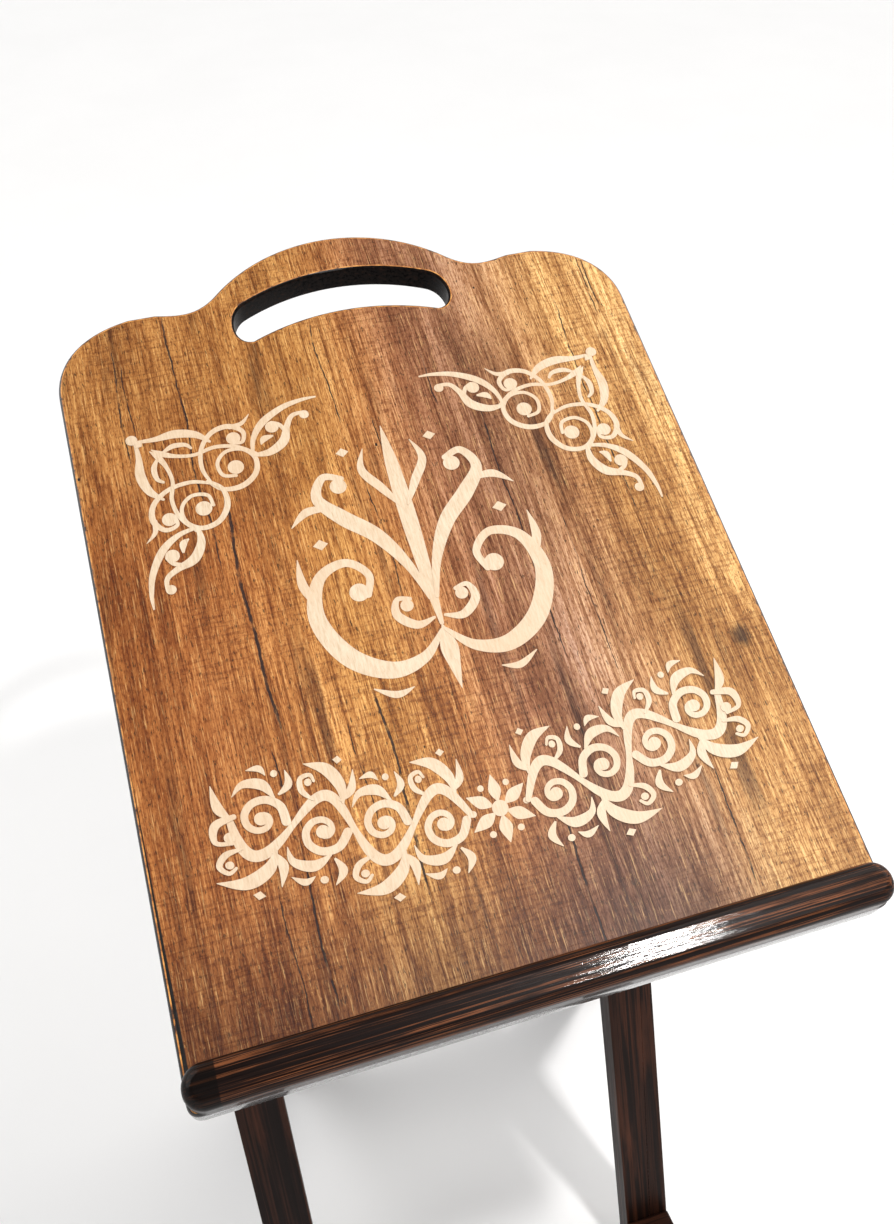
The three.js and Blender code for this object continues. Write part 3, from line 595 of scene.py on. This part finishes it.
def board_outline():
    half = BOARD_WIDTH / 2
    shoulder = (half - SHOULDER_WIDTH, SHOULDER_HEIGHT)
    handle = arch(HANDLE_HALF, 0, HANDLE_TOP, HANDLE_RADIUS)
    foot = handle[0]
    right = [(half - BOARD_CORNER, BOARD_FOOT)]
    right += bezier(right[0], (half - BOARD_CORNER / 3, BOARD_FOOT), (half, BOARD_FOOT + BOARD_CORNER / 3),
                    (half, BOARD_FOOT + BOARD_CORNER), 10)
    right += [(half, SHOULDER_START)]
    right += bezier(right[-1], (half, SHOULDER_START + SHOULDER_RISE),
                    (shoulder[0] + SHOULDER_REACH, SHOULDER_HEIGHT - SHOULDER_DROP), shoulder)
    right += [(NECK_HALF, SHOULDER_HEIGHT)]
    right += bezier(right[-1], (NECK_HALF - NECK_REACH, SHOULDER_HEIGHT - NECK_DIP),
                    (foot[0] + NECK_REACH, foot[1] - NECK_REACH), foot)
    right += handle[1:]
    left = [(-x, y) for x, y in reversed(right[:-1])]
    return right + left


def slot_outline():
    reach = SLOT_HALF + SLOT_END_REACH
    top = arch(-SLOT_HALF, SLOT_HALF, SLOT_TOP, SLOT_TOP_RADIUS)
    floor = arch(SLOT_HALF, -SLOT_HALF, SLOT_FLOOR, SLOT_FLOOR_RADIUS)
    end_top = top[0][1] - SLOT_END_DROP
    ring = top + bezier(top[-1], (reach, end_top), (reach, floor[0][1]), floor[0])
    ring += floor[1:]
    end = bezier(floor[-1], (-reach, floor[-1][1]), (-reach, end_top), top[0])
    return ring + end[:-1]


def flat_curve(name, rings, thickness, arris, resolution):
    """A plate with rounded arrises: filled rings in X and Y, from z = -thickness to z = 0."""
    curve = bpy.data.curves.new(name, "CURVE")
    curve.dimensions = "2D"
    curve.fill_mode = "BOTH"
    curve.extrude = thickness / 2 - arris
    curve.bevel_depth = arris
    curve.bevel_resolution = resolution
    curve.offset = -arris
    for ring in rings:
        spline = curve.splines.new("POLY")
        spline.points.add(len(ring) - 1)
        for point, (x, y) in zip(spline.points, ring):
            point.co = (x, y, 0, 1)
        spline.use_cyclic_u = True
    holder = bpy.data.objects.new(name, curve)
    mesh = bpy.data.meshes.new_from_object(holder)
    bpy.data.objects.remove(holder)
    mesh.name = name
    mesh.transform(Matrix.Translation((0, 0, -thickness / 2)))
    return mesh


def in_slot(point):
    """True for a point on the hand slot's wall, and false on the board's outline."""
    return abs(point.x) < SLOT_WALL_REACH and SLOT_WALL_LOW < point.y < SLOT_WALL_HIGH


def board_surface(polygon):
    """The place of a polygon's material in the board's list: face, arris, edge, back or slot wall."""
    z = polygon.center.z
    if z > -FLAT:
        return 0
    if z > -ARRIS * ARRIS_BARE:
        return 1
    if z < FLAT - BOARD_THICKNESS:
        return 3
    return 4 if in_slot(polygon.center) else 2


def add_board():
    mesh = flat_curve("board", [board_outline(), slot_outline()], BOARD_THICKNESS, ARRIS, 8)
    for polygon in mesh.polygons:
        polygon.material_index = board_surface(polygon)
        polygon.use_smooth = abs(polygon.normal.z) < 0.99
    materials = [board_wood("board_wood", False), arris_wood(), edge_lacquer("edge_lacquer", 0.8),
                 board_wood("board_back", True), edge_lacquer("slot_lacquer", 0.0)]
    piece = finish_mesh("board", mesh, BOARD, materials)
    stand_for(piece, "panel_board", "board")


# Ledge.
def rounded_ring(half_x, low_y, high_y, corner, inset, z, steps=10):
    """A rounded rectangle, moved inward by inset."""
    radius = max(corner - inset, 0.5)
    x = half_x - inset - radius
    bottom, top = low_y + inset + radius, high_y - inset - radius
    centres = [(x, top), (-x, top), (-x, bottom), (x, bottom)]
    ring = []
    for quarter, (cx, cy) in enumerate(centres):
        for i in range(steps + 1):
            angle = (quarter + i / steps) * math.pi / 2
            ring.append((cx + radius * math.cos(angle), cy + radius * math.sin(angle), z))
    return ring


def add_ledge():
    low, high = BOARD_FOOT, BOARD_FOOT + LEDGE_DEPTH
    half = BOARD_WIDTH / 2
    rings = [rounded_ring(half, low, high, LEDGE_CORNER, 0, LEDGE_GAP)]
    steps = 10
    for i in range(steps + 1):
        angle = i / steps * math.pi / 2
        inset = LEDGE_ROUND * (1 - math.cos(angle))
        z = LEDGE_HEIGHT - LEDGE_ROUND * (1 - math.sin(angle))
        rings.append(rounded_ring(half, low, high, LEDGE_CORNER, inset, z))
    mesh = to_mesh("ledge", ring_stack(rings))
    piece = finish_mesh("ledge", mesh, BOARD, [ledge_wood()], lambda polygon: len(polygon.vertices) == 4)
    stand_for(piece, "panel_ledge", "board")


# Inlays. A stroke is a ribbon along a smooth line, with its width given at each of its points.
def smooth_line(points, steps=10):
    """Catmull-Rom points through (x, y, width) triples."""
    ends = [points[0]] + list(points) + [points[-1]]
    line = []
    for a, b, c, d in zip(ends, ends[1:], ends[2:], ends[3:]):
        for i in range(steps):
            t = i / steps
            line.append(tuple(
                q + 0.5 * t * ((r - p) + t * ((2 * p - 5 * q + 4 * r - s) + t * (3 * q - p - 3 * r + s)))
                for p, q, r, s in zip(a, b, c, d)))
    line.append(tuple(points[-1]))
    return line


class Inlay:
    """Strokes and dots of pale wood on the board's face, each a hair higher than the last."""

    def __init__(self, place):
        self.shape = bmesh.new()
        self.place = place
        self.level = INLAY_PROUD

    def outline(self, points):
        """A flat patch with short side walls down into the board."""
        top = self.level
        self.level += INLAY_STEP
        spots = [self.place(x, y) for x, y in points]
        upper = [self.shape.verts.new((x, y, top)) for x, y in spots]
        lower = [self.shape.verts.new((x, y, INLAY_ROOT)) for x, y in spots]
        self.shape.faces.new(upper)
        for i in range(len(spots)):
            j = (i + 1) % len(spots)
            self.shape.faces.new((upper[i], lower[i], lower[j], upper[j]))

    def stroke(self, *points):
        line = smooth_line(points)
        left, right = [], []
        for i, (x, y, width) in enumerate(line):
            before = line[max(i - 1, 0)]
            after = line[min(i + 1, len(line) - 1)]
            dx, dy = after[0] - before[0], after[1] - before[1]
            length = math.hypot(dx, dy) or 1.0
            reach = max(width, STROKE_THINNEST) / 2
            nx, ny = -dy / length * reach, dx / length * reach
            left.append(self.place(x + nx, y + ny))
            right.append(self.place(x - nx, y - ny))
        self.ribbon(left, right)
        for x, y, width in (points[0], points[-1]):
            if width > STROKE_ROUND_END:
                self.dot(x, y, width / 2)

    def ribbon(self, left, right):
        top = self.level
        self.level += INLAY_STEP
        rows = []
        for (ax, ay), (bx, by) in zip(left, right):
            corners = ((ax, ay, INLAY_ROOT), (ax, ay, top), (bx, by, top), (bx, by, INLAY_ROOT))
            rows.append([self.shape.verts.new(corner) for corner in corners])
        for low, high in zip(rows, rows[1:]):
            for i in range(3):
                self.shape.faces.new((low[i], low[i + 1], high[i + 1], high[i]))
        self.shape.faces.new(rows[0])
        self.shape.faces.new(list(reversed(rows[-1])))

    def dot(self, x, y, radius, sides=28):
        self.outline([
            (x + radius * math.cos(2 * math.pi * i / sides), y + radius * math.sin(2 * math.pi * i / sides))
            for i in range(sides)])

    def diamond(self, x, y, radius, turn=0.0):
        corners = [(radius, 0), (0, radius * 0.8), (-radius, 0), (0, -radius * 0.8)]
        c, s = math.cos(turn), math.sin(turn)
        self.outline([(x + a * c - b * s, y + a * s + b * c) for a, b in corners])

    def spiral(self, x, y, radius, start, turns, width, ball, sense=1):
        """A curl that winds inward from its start angle to a ball at its heart."""
        count = max(6, int(abs(turns) * 9))
        points = []
        for i in range(count + 1):
            t = i / count
            reach = radius * (1 - t) + ball * 0.75 * t
            angle = start + sense * 2 * math.pi * turns * t
            swell = width * (1 - 0.45 * t)
            points.append((x + reach * math.cos(angle), y + reach * math.sin(angle), swell))
        self.stroke(*points)
        self.dot(x, y, ball)

    def finish(self, name, node):
        bmesh.ops.recalc_face_normals(self.shape, faces=self.shape.faces)
        mesh = to_mesh(name, self.shape)
        piece = finish_mesh(name, mesh, BOARD, [PALE])
        return stand_for(piece, node, "board")


def corner_arm(inlay, turn):
    """One arm of a corner ornament. turn(u, v) places a point that is u along the arm and v beside it."""
    def stroke(*points):
        inlay.stroke(*[(*turn(u, v), width) for u, v, width in points])

    def dot(u, v, radius):
        inlay.dot(*turn(u, v), radius)

    stroke((1, 1, 1.8), (12, 1.5, 3.2), (24, 0.5, 5.6), (35, 3.5, 4.6), (42, 10, 1.6))
    stroke((38, 38, 1.6), (34.5, 27, 2.4), (36.5, 14, 2.6), (44, 4.5, 3.0), (54, 2.2, 3.4), (61.5, 7.5, 2.8),
           (60, 14.5, 2.2), (54, 14, 2.0))
    dot(55.5, 11, 4.1)
    stroke((55, 3, 3.0), (62, 2, 2.6), (67.5, -3.5, 0.3))
    stroke((36, 36, 1.8), (43, 43, 2.6), (54, 43.5, 3.4), (63, 37, 3.2), (65, 27, 2.8), (59, 19.5, 2.4),
           (49.5, 19, 2.2), (43.5, 25.5, 2.2), (45, 34, 2.2), (52, 36, 2.0))
    dot(53, 30.5, 4.6)
    stroke((9, 8, 0.4), (14, 12, 3.6), (22, 15.5, 2.4), (32, 17, 2.2), (44, 14.5, 2.4), (56, 17, 2.4),
           (66, 24, 1.8))
    stroke((15, 11.5, 1.4), (21, 8.5, 3.2), (28, 9, 2.6), (31, 12, 1.6))
    stroke((64, 25, 1.8), (66.5, 14, 3.0), (74, 4, 4.4), (87, -3.5, 3.6), (99, -6.3, 2.4), (108, -6.6, 1.0))
    stroke((65, 25, 2.2), (74, 25, 4.6), (83, 19.5, 5.6), (87, 10, 3.6), (91.5, 3.4, 2.8), (98.5, 2.4, 2.2))
    dot(98.5, 4.2, 2.8)
    stroke((70, 19, 0.6), (72.5, 15.5, 4.0), (78, 14.5, 1.0))
    dot(78.5, 8.5, 3.9)
    stroke((85.5, 13, 2.6), (83, 8, 2.4), (79, 5.5, 2.2))


def add_corner(side):
    sign = -1 if side == "left" else 1
    inlay = Inlay(lambda x, y: (x, y))

    def along_top(u, v):
        return sign * (CORNER_INLAY_X - u), CORNER_INLAY_Y - v

    def down_side(u, v):
        return sign * (CORNER_INLAY_X - v), CORNER_INLAY_Y - u

    corner_arm(inlay, along_top)
    corner_arm(inlay, down_side)
    inlay.dot(*along_top(-0.5, -0.5), 3.3)
    inlay.diamond(*along_top(3, 3), 3.0, math.pi / 4)
    inlay.finish(f"corner_ornament_{side}", f"corner_inlay_{side}")


def add_centre():
    """A tall palmette: a spire between two pairs of bold curling leaves."""
    inlay = Inlay(lambda x, y: (x, CENTRE_INLAY_Y + y))
    inlay.stroke((0, -46, 2.4), (0, -20, 6.5), (0, 20, 9.5), (0, 55, 8.0), (0, 72, 4.6), (0, 85, 0.3))
    inlay.stroke((0, -48, 1.6), (0, -60, 9.5), (0, -72, 6.0), (0, -85, 0.3))
    for sign in (-1, 1):
        def stroke(*points):
            inlay.stroke(*[(sign * x, y, width) for x, y, width in points])
        stroke((1, -50, 2.0), (14, -63, 6.0), (33, -66, 9.6), (53, -53, 11.0), (64, -28, 9.4), (58, -5, 6.6),
               (42, 2, 5.0), (31, -8, 4.4), (34, -20, 3.8))
        inlay.dot(sign * 38.5, -17.5, 5.4)
        stroke((62, -20, 3.0), (67, -6, 5.2), (66.5, 10, 0.4))
        stroke((2, -30, 2.2), (8, -8, 5.4), (20, 14, 8.8), (36, 30, 9.4), (47, 45, 6.4), (41, 58, 4.6),
               (31, 55, 3.8))
        inlay.dot(sign * 33.5, 50.5, 4.8)
        stroke((44, 38, 3.0), (55, 38, 5.0), (65, 30, 0.4))
        stroke((2, 30, 1.6), (10, 44, 5.2), (18, 58, 4.6), (14, 72, 0.4))
        stroke((3, -42, 1.6), (13, -44, 4.8), (22, -36, 5.0), (20, -27, 3.0), (13, -28, 2.4))
        inlay.dot(sign * 15.5, -31.5, 3.6)
        inlay.diamond(sign * 52, 16, 4.2)
        inlay.diamond(sign * 26, 72, 3.8)
        stroke((24, -78, 0.4), (34, -80, 4.0), (45, -74, 0.6))
    inlay.finish("centre_ornament", "centre_inlay")


def bent(s, t):
    """A point s along the garland and t beside it."""
    fraction = s / GARLAND_HALF
    slope = 2 * GARLAND_LIFT * fraction / GARLAND_HALF
    length = math.hypot(1, slope)
    return s - t * slope / length, GARLAND_Y + GARLAND_LIFT * fraction * fraction + t / length


def add_garland():
    """A scrolling vine that runs out from a middle blossom to both ends of a broad arched band."""
    inlay = Inlay(bent)
    for angle in range(0, 360, 60):
        turn = math.radians(angle + 30)
        c, s = math.cos(turn), math.sin(turn)
        inlay.stroke((4 * c, 4 * s, 1.2), (10 * c, 10 * s, 6.6), (18 * c, 18 * s, 0.3))
        turn += math.radians(30)
        inlay.dot(14 * math.cos(turn), 14 * math.sin(turn), 1.7)
    inlay.dot(0, 0, 4.2)
    wave, start, rise = 29.0, 15.0, 16.5
    for sign in (-1, 1):
        def stroke(*points):
            inlay.stroke(*[(sign * s, t, width) for s, t, width in points])

        stem = []
        for i in range(25):
            turn = math.pi * 4 * i / 24
            swing = math.sin(turn)
            stem.append((start + wave * turn / math.pi, rise * swing, 3.0 + 2.6 * abs(swing)))
        stroke(*stem)
        for k in range(4):
            garland_unit(inlay, stroke, sign, start + wave * (k + 0.5), 1 if k % 2 == 0 else -1)
        end = start + 4 * wave
        stroke((end - 2, 1, 2.6), (end + 5, -5, 4.0), (end + 3, -13, 2.4), (end - 4, -12, 1.8))
        inlay.dot(sign * (end - 2.5), -9.5, 2.6)
        stroke((end, 0, 2.0), (end + 6, 4, 4.8), (end + 12, 14, 0.3))
    inlay.finish("garland_ornament", "garland_inlay")


def garland_unit(inlay, stroke, sign, middle, lift):
    """A curl inside half a wave of the vine, with leaves, a tendril and buds around it."""
    def grow(*points):
        stroke(*[(middle + s, lift * t, width) for s, t, width in points])

    start = math.pi if sign > 0 else 0.0
    inlay.spiral(sign * middle, -2.0 * lift, 11.6, start, 1.2, 4.4, 3.3, sense=sign * lift)
    grow((-9, 13, 1.4), (-7, 22, 5.8), (1, 30, 6.2), (13, 32, 0.3))
    grow((-8, 14, 1.2), (-13, 20, 4.4), (-13.5, 30, 0.3))
    grow((6, 14, 1.2), (12, 18, 3.0), (13.5, 24, 2.6), (9, 26.5, 2.0), (6.5, 23.5, 1.4))
    grow((-4, -13.5, 1.2), (3, -19, 5.4), (12, -17.5, 3.6), (15.5, -10.5, 0.3))
    grow((-6, -15, 1.0), (-10, -21, 4.0), (-7, -28, 0.3))
    grow((2, -24, 0.3), (6, -27, 3.4), (12, -25, 0.3))
    inlay.dot(sign * (middle + 9.4), 22.6 * lift, 1.9)
    inlay.dot(sign * (middle - 2), -25.5 * lift, 1.8)
    inlay.diamond(sign * (middle - 5), 35 * lift, 2.6)


# Pieces that keep their CAD shape, with their long arrises eased.
def eased(node, name, body, material, width, shortest=2.6):
    """A copy of a CAD node with its long edges rounded, and its small faces shaded smooth."""
    flat, sharp = math.radians(0.5), math.radians(25)
    small_face = 12 * MM * 4 * MM
    shape = bmesh.new()
    shape.from_mesh(frame["nodes"][node].data)
    bmesh.ops.remove_doubles(shape, verts=shape.verts, dist=1e-6)
    bmesh.ops.dissolve_limit(shape, angle_limit=flat, verts=shape.verts, edges=shape.edges)
    edges = [
        edge for edge in shape.edges
        if len(edge.link_faces) == 2
        and edge.calc_length() > shortest * MM
        and edge.calc_face_angle(0) > sharp]
    bmesh.ops.bevel(shape, geom=edges, offset=width * MM, segments=3, profile=0.5, affect="EDGES",
                    clamp_overlap=False)
    bmesh.ops.recalc_face_normals(shape, faces=shape.faces)
    piece = add_piece(name, to_mesh(name, shape), [material])
    for polygon in piece.data.polygons:
        polygon.use_smooth = polygon.area < small_face
    return stand_for(piece, node, body)


def add_frames():
    front_wood = stained_wood("front_leg_wood", FRONT, 0.22)
    rear_wood = stained_wood("rear_leg_wood", REAR, 0.22)
    front_rail_wood = stained_wood("front_rail_wood", FRONT, 0.22, along="X")
    rear_rail_wood = stained_wood("rear_rail_wood", REAR, 0.22, along="X")
    batten_wood = stained_wood("batten_wood", BOARD, 0.3, along="Y")
    for side in SIDES:
        eased(f"front_leg_{side}", f"front_upright_{side}", "front_frame", front_wood, 1.6)
        eased(f"rear_leg_{side}", f"rear_upright_{side}", "rear_frame", rear_wood, 1.6)
        eased(f"rack_batten_{side}", f"notched_batten_{side}", "board", batten_wood, 0.8)
    for end, levels, wood in (("front", ("lower", "upper"), front_rail_wood),
                              ("rear", ("lower", "middle"), rear_rail_wood)):
        for level in levels:
            eased(f"{end}_{level}_rail", f"{end}_{level}_crossbar", f"{end}_frame", wood, 1.6)
    return front_rail_wood


def local_box(node, reference):
    """A node's box in a frame of reference, in millimetres."""
    inverse = reference.inverted()
    points = [inverse @ vertex.co / MM for vertex in frame["nodes"][node].data.vertices]
    low = Vector([min(point[k] for point in points) for k in range(3)])
    high = Vector([max(point[k] for point in points) for k in range(3)])
    return low, high


def circle(radius, z, shape=None, sides=48):
    """A ring of points. shape(angle) scales the radius."""
    ring = []
    for i in range(sides):
        angle = 2 * math.pi * i / sides
        reach = radius * (shape(angle) if shape else 1)
        ring.append((reach * math.cos(angle), reach * math.sin(angle), z))
    return ring


def add_bar(material):
    low, high = local_box("front_top_bar", FRONT)
    radius = (high.z - low.z) / 2
    length = high.x - low.x
    ease = 1.0
    profile = [(radius - ease, 0), (radius, ease), (radius, length - ease), (radius - ease, length)]
    mesh = to_mesh("top_bar", ring_stack([circle(reach, z, sides=64) for reach, z in profile]))
    centre = (low + high) / 2
    mesh.transform(Matrix.Translation((low.x, centre.y, centre.z)) @ Matrix.Rotation(math.pi / 2, 4, "Y"))
    piece = finish_mesh("top_bar", mesh, FRONT, [material], lambda polygon: len(polygon.vertices) == 4)
    stand_for(piece, "front_top_bar", "front_frame")


def sharpen(mesh, degrees=35):
    """Smooth shading, with the edges sharper than an angle kept crisp."""
    shape = bmesh.new()
    shape.from_mesh(mesh)
    for edge in shape.edges:
        edge.smooth = edge.calc_face_angle(0) < math.radians(degrees)
    for face in shape.faces:
        face.smooth = True
    shape.to_mesh(mesh)
    shape.free()


def seat_part(name, shape, reference, seat, facing, material):
    """Moves a part from the origin to its seat, with its Z axis turned to facing, and smooths it."""
    mesh = to_mesh(name, shape)
    mesh.transform(Matrix.Translation(seat) @ UP.rotation_difference(Vector(facing)).to_matrix().to_4x4())
    piece = finish_mesh(name, mesh, reference, [material])
    sharpen(piece.data)
    return piece


def cross_recess(angle):
    """A cross shape for a screwdriver, as a share of the widest reach."""
    return 0.42 + 0.58 * abs(math.cos(2 * angle)) ** 4


def hexagon(angle):
    """A hexagon, as a share of its corners' reach."""
    turn = (angle + math.pi / 6) % (math.pi / 3) - math.pi / 6
    return math.cos(math.pi / 6) / math.cos(math.pi / 6 - abs(turn))


def fastener(radius, height, shank, shank_length, recess, recess_reach):
    """A domed head with a driver recess, on a plain shank below z = 0."""
    skirt, floor, tip, tip_reach = 0.35 * height, 0.45 * height, 1.2, 0.6 * shank
    profile = [(tip_reach, -shank_length), (shank, tip - shank_length), (shank, 0), (radius, 0),
               (radius, skirt)]
    steps = 5
    for i in range(1, steps + 1):
        angle = i / steps * HEAD_SWEEP
        rise = (height - skirt) * math.sin(angle) / math.sin(HEAD_SWEEP)
        profile.append((radius * math.cos(angle), skirt + rise))
    rings = [circle(reach, z) for reach, z in profile]
    reach = min(radius * 0.95 * math.cos(HEAD_SWEEP), recess_reach)
    rings.append(circle(reach, height, recess))
    rings.append(circle(reach * 0.9, floor, recess))
    rings.append(circle(0.12, height * 0.4))
    return ring_stack(rings)


def head_and_shank(node):
    """A screw's head height and its shank's radius."""
    if "bolt" in node:
        return BOLT_HEAD, BOLT_SHANK
    return SCREW_HEAD, HINGE_SCREW_SHANK if "hinge" in node else SCREW_SHANK


def add_fastener(node, name, body, axis, slot="steel", recess=cross_recess, reach=0.62):
    """Stands for a CAD screw. axis is the way its head faces, in its body's frame of reference."""
    low, high = local_box(node, BODY_FRAMES[body])
    along = max(range(3), key=lambda k: abs(axis[k]))
    head = max(high[k] - low[k] for k in range(3) if k != along) / 2
    height, shank = head_and_shank(node)
    shape = fastener(head, height, shank, high[along] - low[along] - height, recess, head * reach)
    seat = (low + high) / 2
    seat[along] = (high[along] - height) if axis[along] > 0 else (low[along] + height)
    piece = seat_part(name, shape, BODY_FRAMES[body], seat, axis, METALS[slot])
    stand_for(piece, node, body)


def add_screws():
    below, front, back = (0, 0, -1), (0, -1, 0), (0, 1, 0)
    for side in ("left", "middle", "right"):
        add_fastener(f"ledge_screw_{side}", f"ledge_fixing_{side}", "board", below)
    rails = (("front_lower", "front_frame", front), ("front_upper", "front_frame", back),
             ("rear_lower", "rear_frame", back), ("rear_middle", "rear_frame", back))
    for side in SIDES:
        outward = (-1, 0, 0) if side == "left" else (1, 0, 0)
        for end in ("lower", "upper"):
            add_fastener(f"rack_screw_{side}_{end}", f"batten_fixing_{side}_{end}", "board", below)
        for spot in (f"{side}_1", f"{side}_2"):
            add_fastener(f"hinge_screw_board_{spot}", f"hinge_fixing_board_{spot}", "board", below, "brass")
            add_fastener(f"hinge_screw_leg_{spot}", f"hinge_fixing_leg_{spot}", "rear_frame", front, "brass")
        for rail, body, facing in rails:
            add_fastener(f"{rail}_rail_screw_{side}", f"{rail}_fixing_{side}", body, facing)
        add_fastener(f"bar_screw_{side}", f"bar_fixing_{side}", "front_frame", outward)
        add_fastener(f"pivot_bolt_{side}", f"pivot_{side}", "rear_frame", outward, "steel", hexagon, 0.5)


def add_cap_nut(side):
    """A hexagon nut with a domed end."""
    node = f"pivot_nut_{side}"
    low, high = local_box(node, REAR)
    radius, length = (high.y - low.y) / 2, high.x - low.x
    chamfered, dome = 0.88 * radius, 0.80 * radius
    edge, skirt = 0.7, length - NUT_DOME
    rings = [circle(NUT_BORE, skirt * 0.4), circle(NUT_BORE, 0), circle(chamfered, 0),
             circle(radius, edge, hexagon), circle(radius, skirt - edge, hexagon),
             circle(chamfered, skirt), circle(dome, skirt)]
    steps = 6
    for i in range(1, steps):
        angle = i / steps * math.pi / 2
        rings.append(circle(dome * math.cos(angle), skirt + NUT_DOME * math.sin(angle)))
    rings.append(circle(0.2, length))
    seat = (low + high) / 2
    seat.x, inward = (low.x, (1, 0, 0)) if side == "left" else (high.x, (-1, 0, 0))
    piece = seat_part(f"cap_nut_{side}", ring_stack(rings), REAR, seat, inward, METALS["steel"])
    stand_for(piece, node, "rear_frame")


def add_washer(side):
    node = f"pivot_washer_{side}"
    low, high = local_box(node, REAR)
    inner, outer = WASHER_BORE, (high.y - low.y) / 2
    thick, ease = high.x - low.x, 0.25
    profile = [(inner, ease), (inner + ease, 0), (outer - ease, 0), (outer, ease), (outer, thick - ease),
               (outer - ease, thick), (inner + ease, thick), (inner, thick - ease)]
    rings = [circle(reach, z, sides=64) for reach, z in profile]
    shape = ring_stack(rings + rings[:1], capped=False)
    bmesh.ops.remove_doubles(shape, verts=shape.verts, dist=1e-4)
    seat = (low + high) / 2
    seat.x = low.x
    piece = seat_part(f"washer_{side}", shape, REAR, seat, (1, 0, 0), METALS["steel"])
    stand_for(piece, node, "rear_frame")


def add_hinges():
    brass = METALS["brass"]
    for side in SIDES:
        pieces = [
            eased(f"hinge_leaf_board_{side}", f"hinge_plate_board_{side}", "board", brass, 0.3, 6),
            eased(f"hinge_leaf_leg_{side}", f"hinge_plate_leg_{side}", "rear_frame", brass, 0.3, 6),
            eased(f"hinge_pin_{side}", f"hinge_rod_{side}", "rear_frame", brass, 0.2, 40)]
        for piece in pieces:
            sharpen(piece.data)


def add_feet():
    """Soft pads with a chamfered sole and a groove round the side."""
    pad = rubber()
    # How far the side lies inward, and the height where it does.
    profile = [(1.2, 0), (0, 1.2), (0, 3.2), (0.7, 3.7), (0.7, 4.3), (0, 4.8), (0, 7.0), (1.0, 8.0)]
    for end in ("front", "rear"):
        for side in SIDES:
            node = f"{end}_foot_{side}"
            low, high = [Vector(corner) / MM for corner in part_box(node)]
            middle, half = (low + high) / 2, (high - low) / 2
            rings = [rounded_ring(half.x, -half.y, half.y, PAD_CORNER, inset, z, 6) for inset, z in profile]
            mesh = to_mesh(f"pad_{end}_{side}", ring_stack(rings))
            mesh.transform(Matrix.Translation((middle.x, middle.y, low.z)))
            piece = finish_mesh(f"pad_{end}_{side}", mesh, Matrix.Identity(4), [pad])
            sharpen(piece.data, 50)
            stand_for(piece, node, f"{end}_frame")


# Stage and light.
def add_floor():
    size = 12.0
    bpy.ops.mesh.primitive_plane_add(size=size, location=(0, 0, 0))
    floor = bpy.context.object
    floor.name = "floor"
    floor.data.materials.append(floor_paint())


def add_light(name, kind, strength, warmth):
    data = bpy.data.lights.new(name, kind)
    data.energy = strength
    data.color = warmth
    light = bpy.data.objects.new(name, data)
    bpy.context.collection.objects.link(light)
    return light


def add_area(name, place, target, size, power, warmth):
    light = add_light(name, "AREA", power, warmth)
    light.data.shape = "RECTANGLE"
    light.data.size, light.data.size_y = size
    light.location = place
    light.rotation_euler = (target - place).to_track_quat("-Z", "Y").to_euler()


def add_sun(name, heading, height, strength, spread, warmth):
    """Even light from a wide, distant source. heading, height and spread are in degrees."""
    light = add_light(name, "SUN", strength, warmth)
    light.data.angle = math.radians(spread)
    turn, lift = math.radians(heading), math.radians(height)
    source = Vector((math.cos(turn) * math.cos(lift), math.sin(turn) * math.cos(lift), math.sin(lift)))
    light.rotation_euler = source.to_track_quat("Z", "Y").to_euler()


def add_world():
    """A pale horizon under a dim ceiling, so that gloss facing up stays dark."""
    world = bpy.data.worlds.new("studio")
    bpy.context.scene.world = world
    world.use_nodes = True
    tree = world.node_tree
    direction = tree.nodes.new("ShaderNodeTexCoord").outputs["Generated"]
    split = tree.nodes.new("ShaderNodeSeparateXYZ")
    tree.links.new(direction, split.inputs["Vector"])
    ramp = tree.nodes.new("ShaderNodeValToRGB")
    tree.links.new(split.outputs["Z"], ramp.inputs["Fac"])
    horizon, ceiling = ramp.color_ramp.elements
    horizon.position, horizon.color = 0.30, (1.0, 1.0, 1.0, 1.0)
    ceiling.position, ceiling.color = 0.80, (0.08, 0.08, 0.085, 1.0)
    background = tree.nodes["Background"]
    tree.links.new(ramp.outputs["Color"], background.inputs["Color"])
    background.inputs["Strength"].default_value = 1.05


def add_lights():
    ledge = board_origin()
    add_area("key", ledge + Vector((0.42, -0.36, 1.30)), ledge + Vector((0.05, 0.0, 0.0)), (0.12, 0.06), 18,
             (1.0, 0.98, 0.97))
    add_sun("right", 20, 48, 1.5, 50, (1.0, 0.98, 0.95))
    add_sun("left", 150, 50, 1.2, 50, (1.0, 0.99, 0.98))


PALE = inlay_wood()
add_camera()
add_board()
add_ledge()
for corner_side in SIDES:
    add_corner(corner_side)
add_centre()
add_garland()
add_bar(add_frames())
METALS = {
    "steel": metal("steel", "#B9BABD", "#8F9094", "#6D6E72"),
    "brass": metal("brass", "#C9A55C", "#9C7A3A", "#6E5426"),
}
add_screws()
for nut_side in SIDES:
    add_cap_nut(nut_side)
    add_washer(nut_side)
add_hinges()
add_feet()
add_floor()
add_world()
add_lights()
bpy.context.scene.view_settings.view_transform = "Standard"
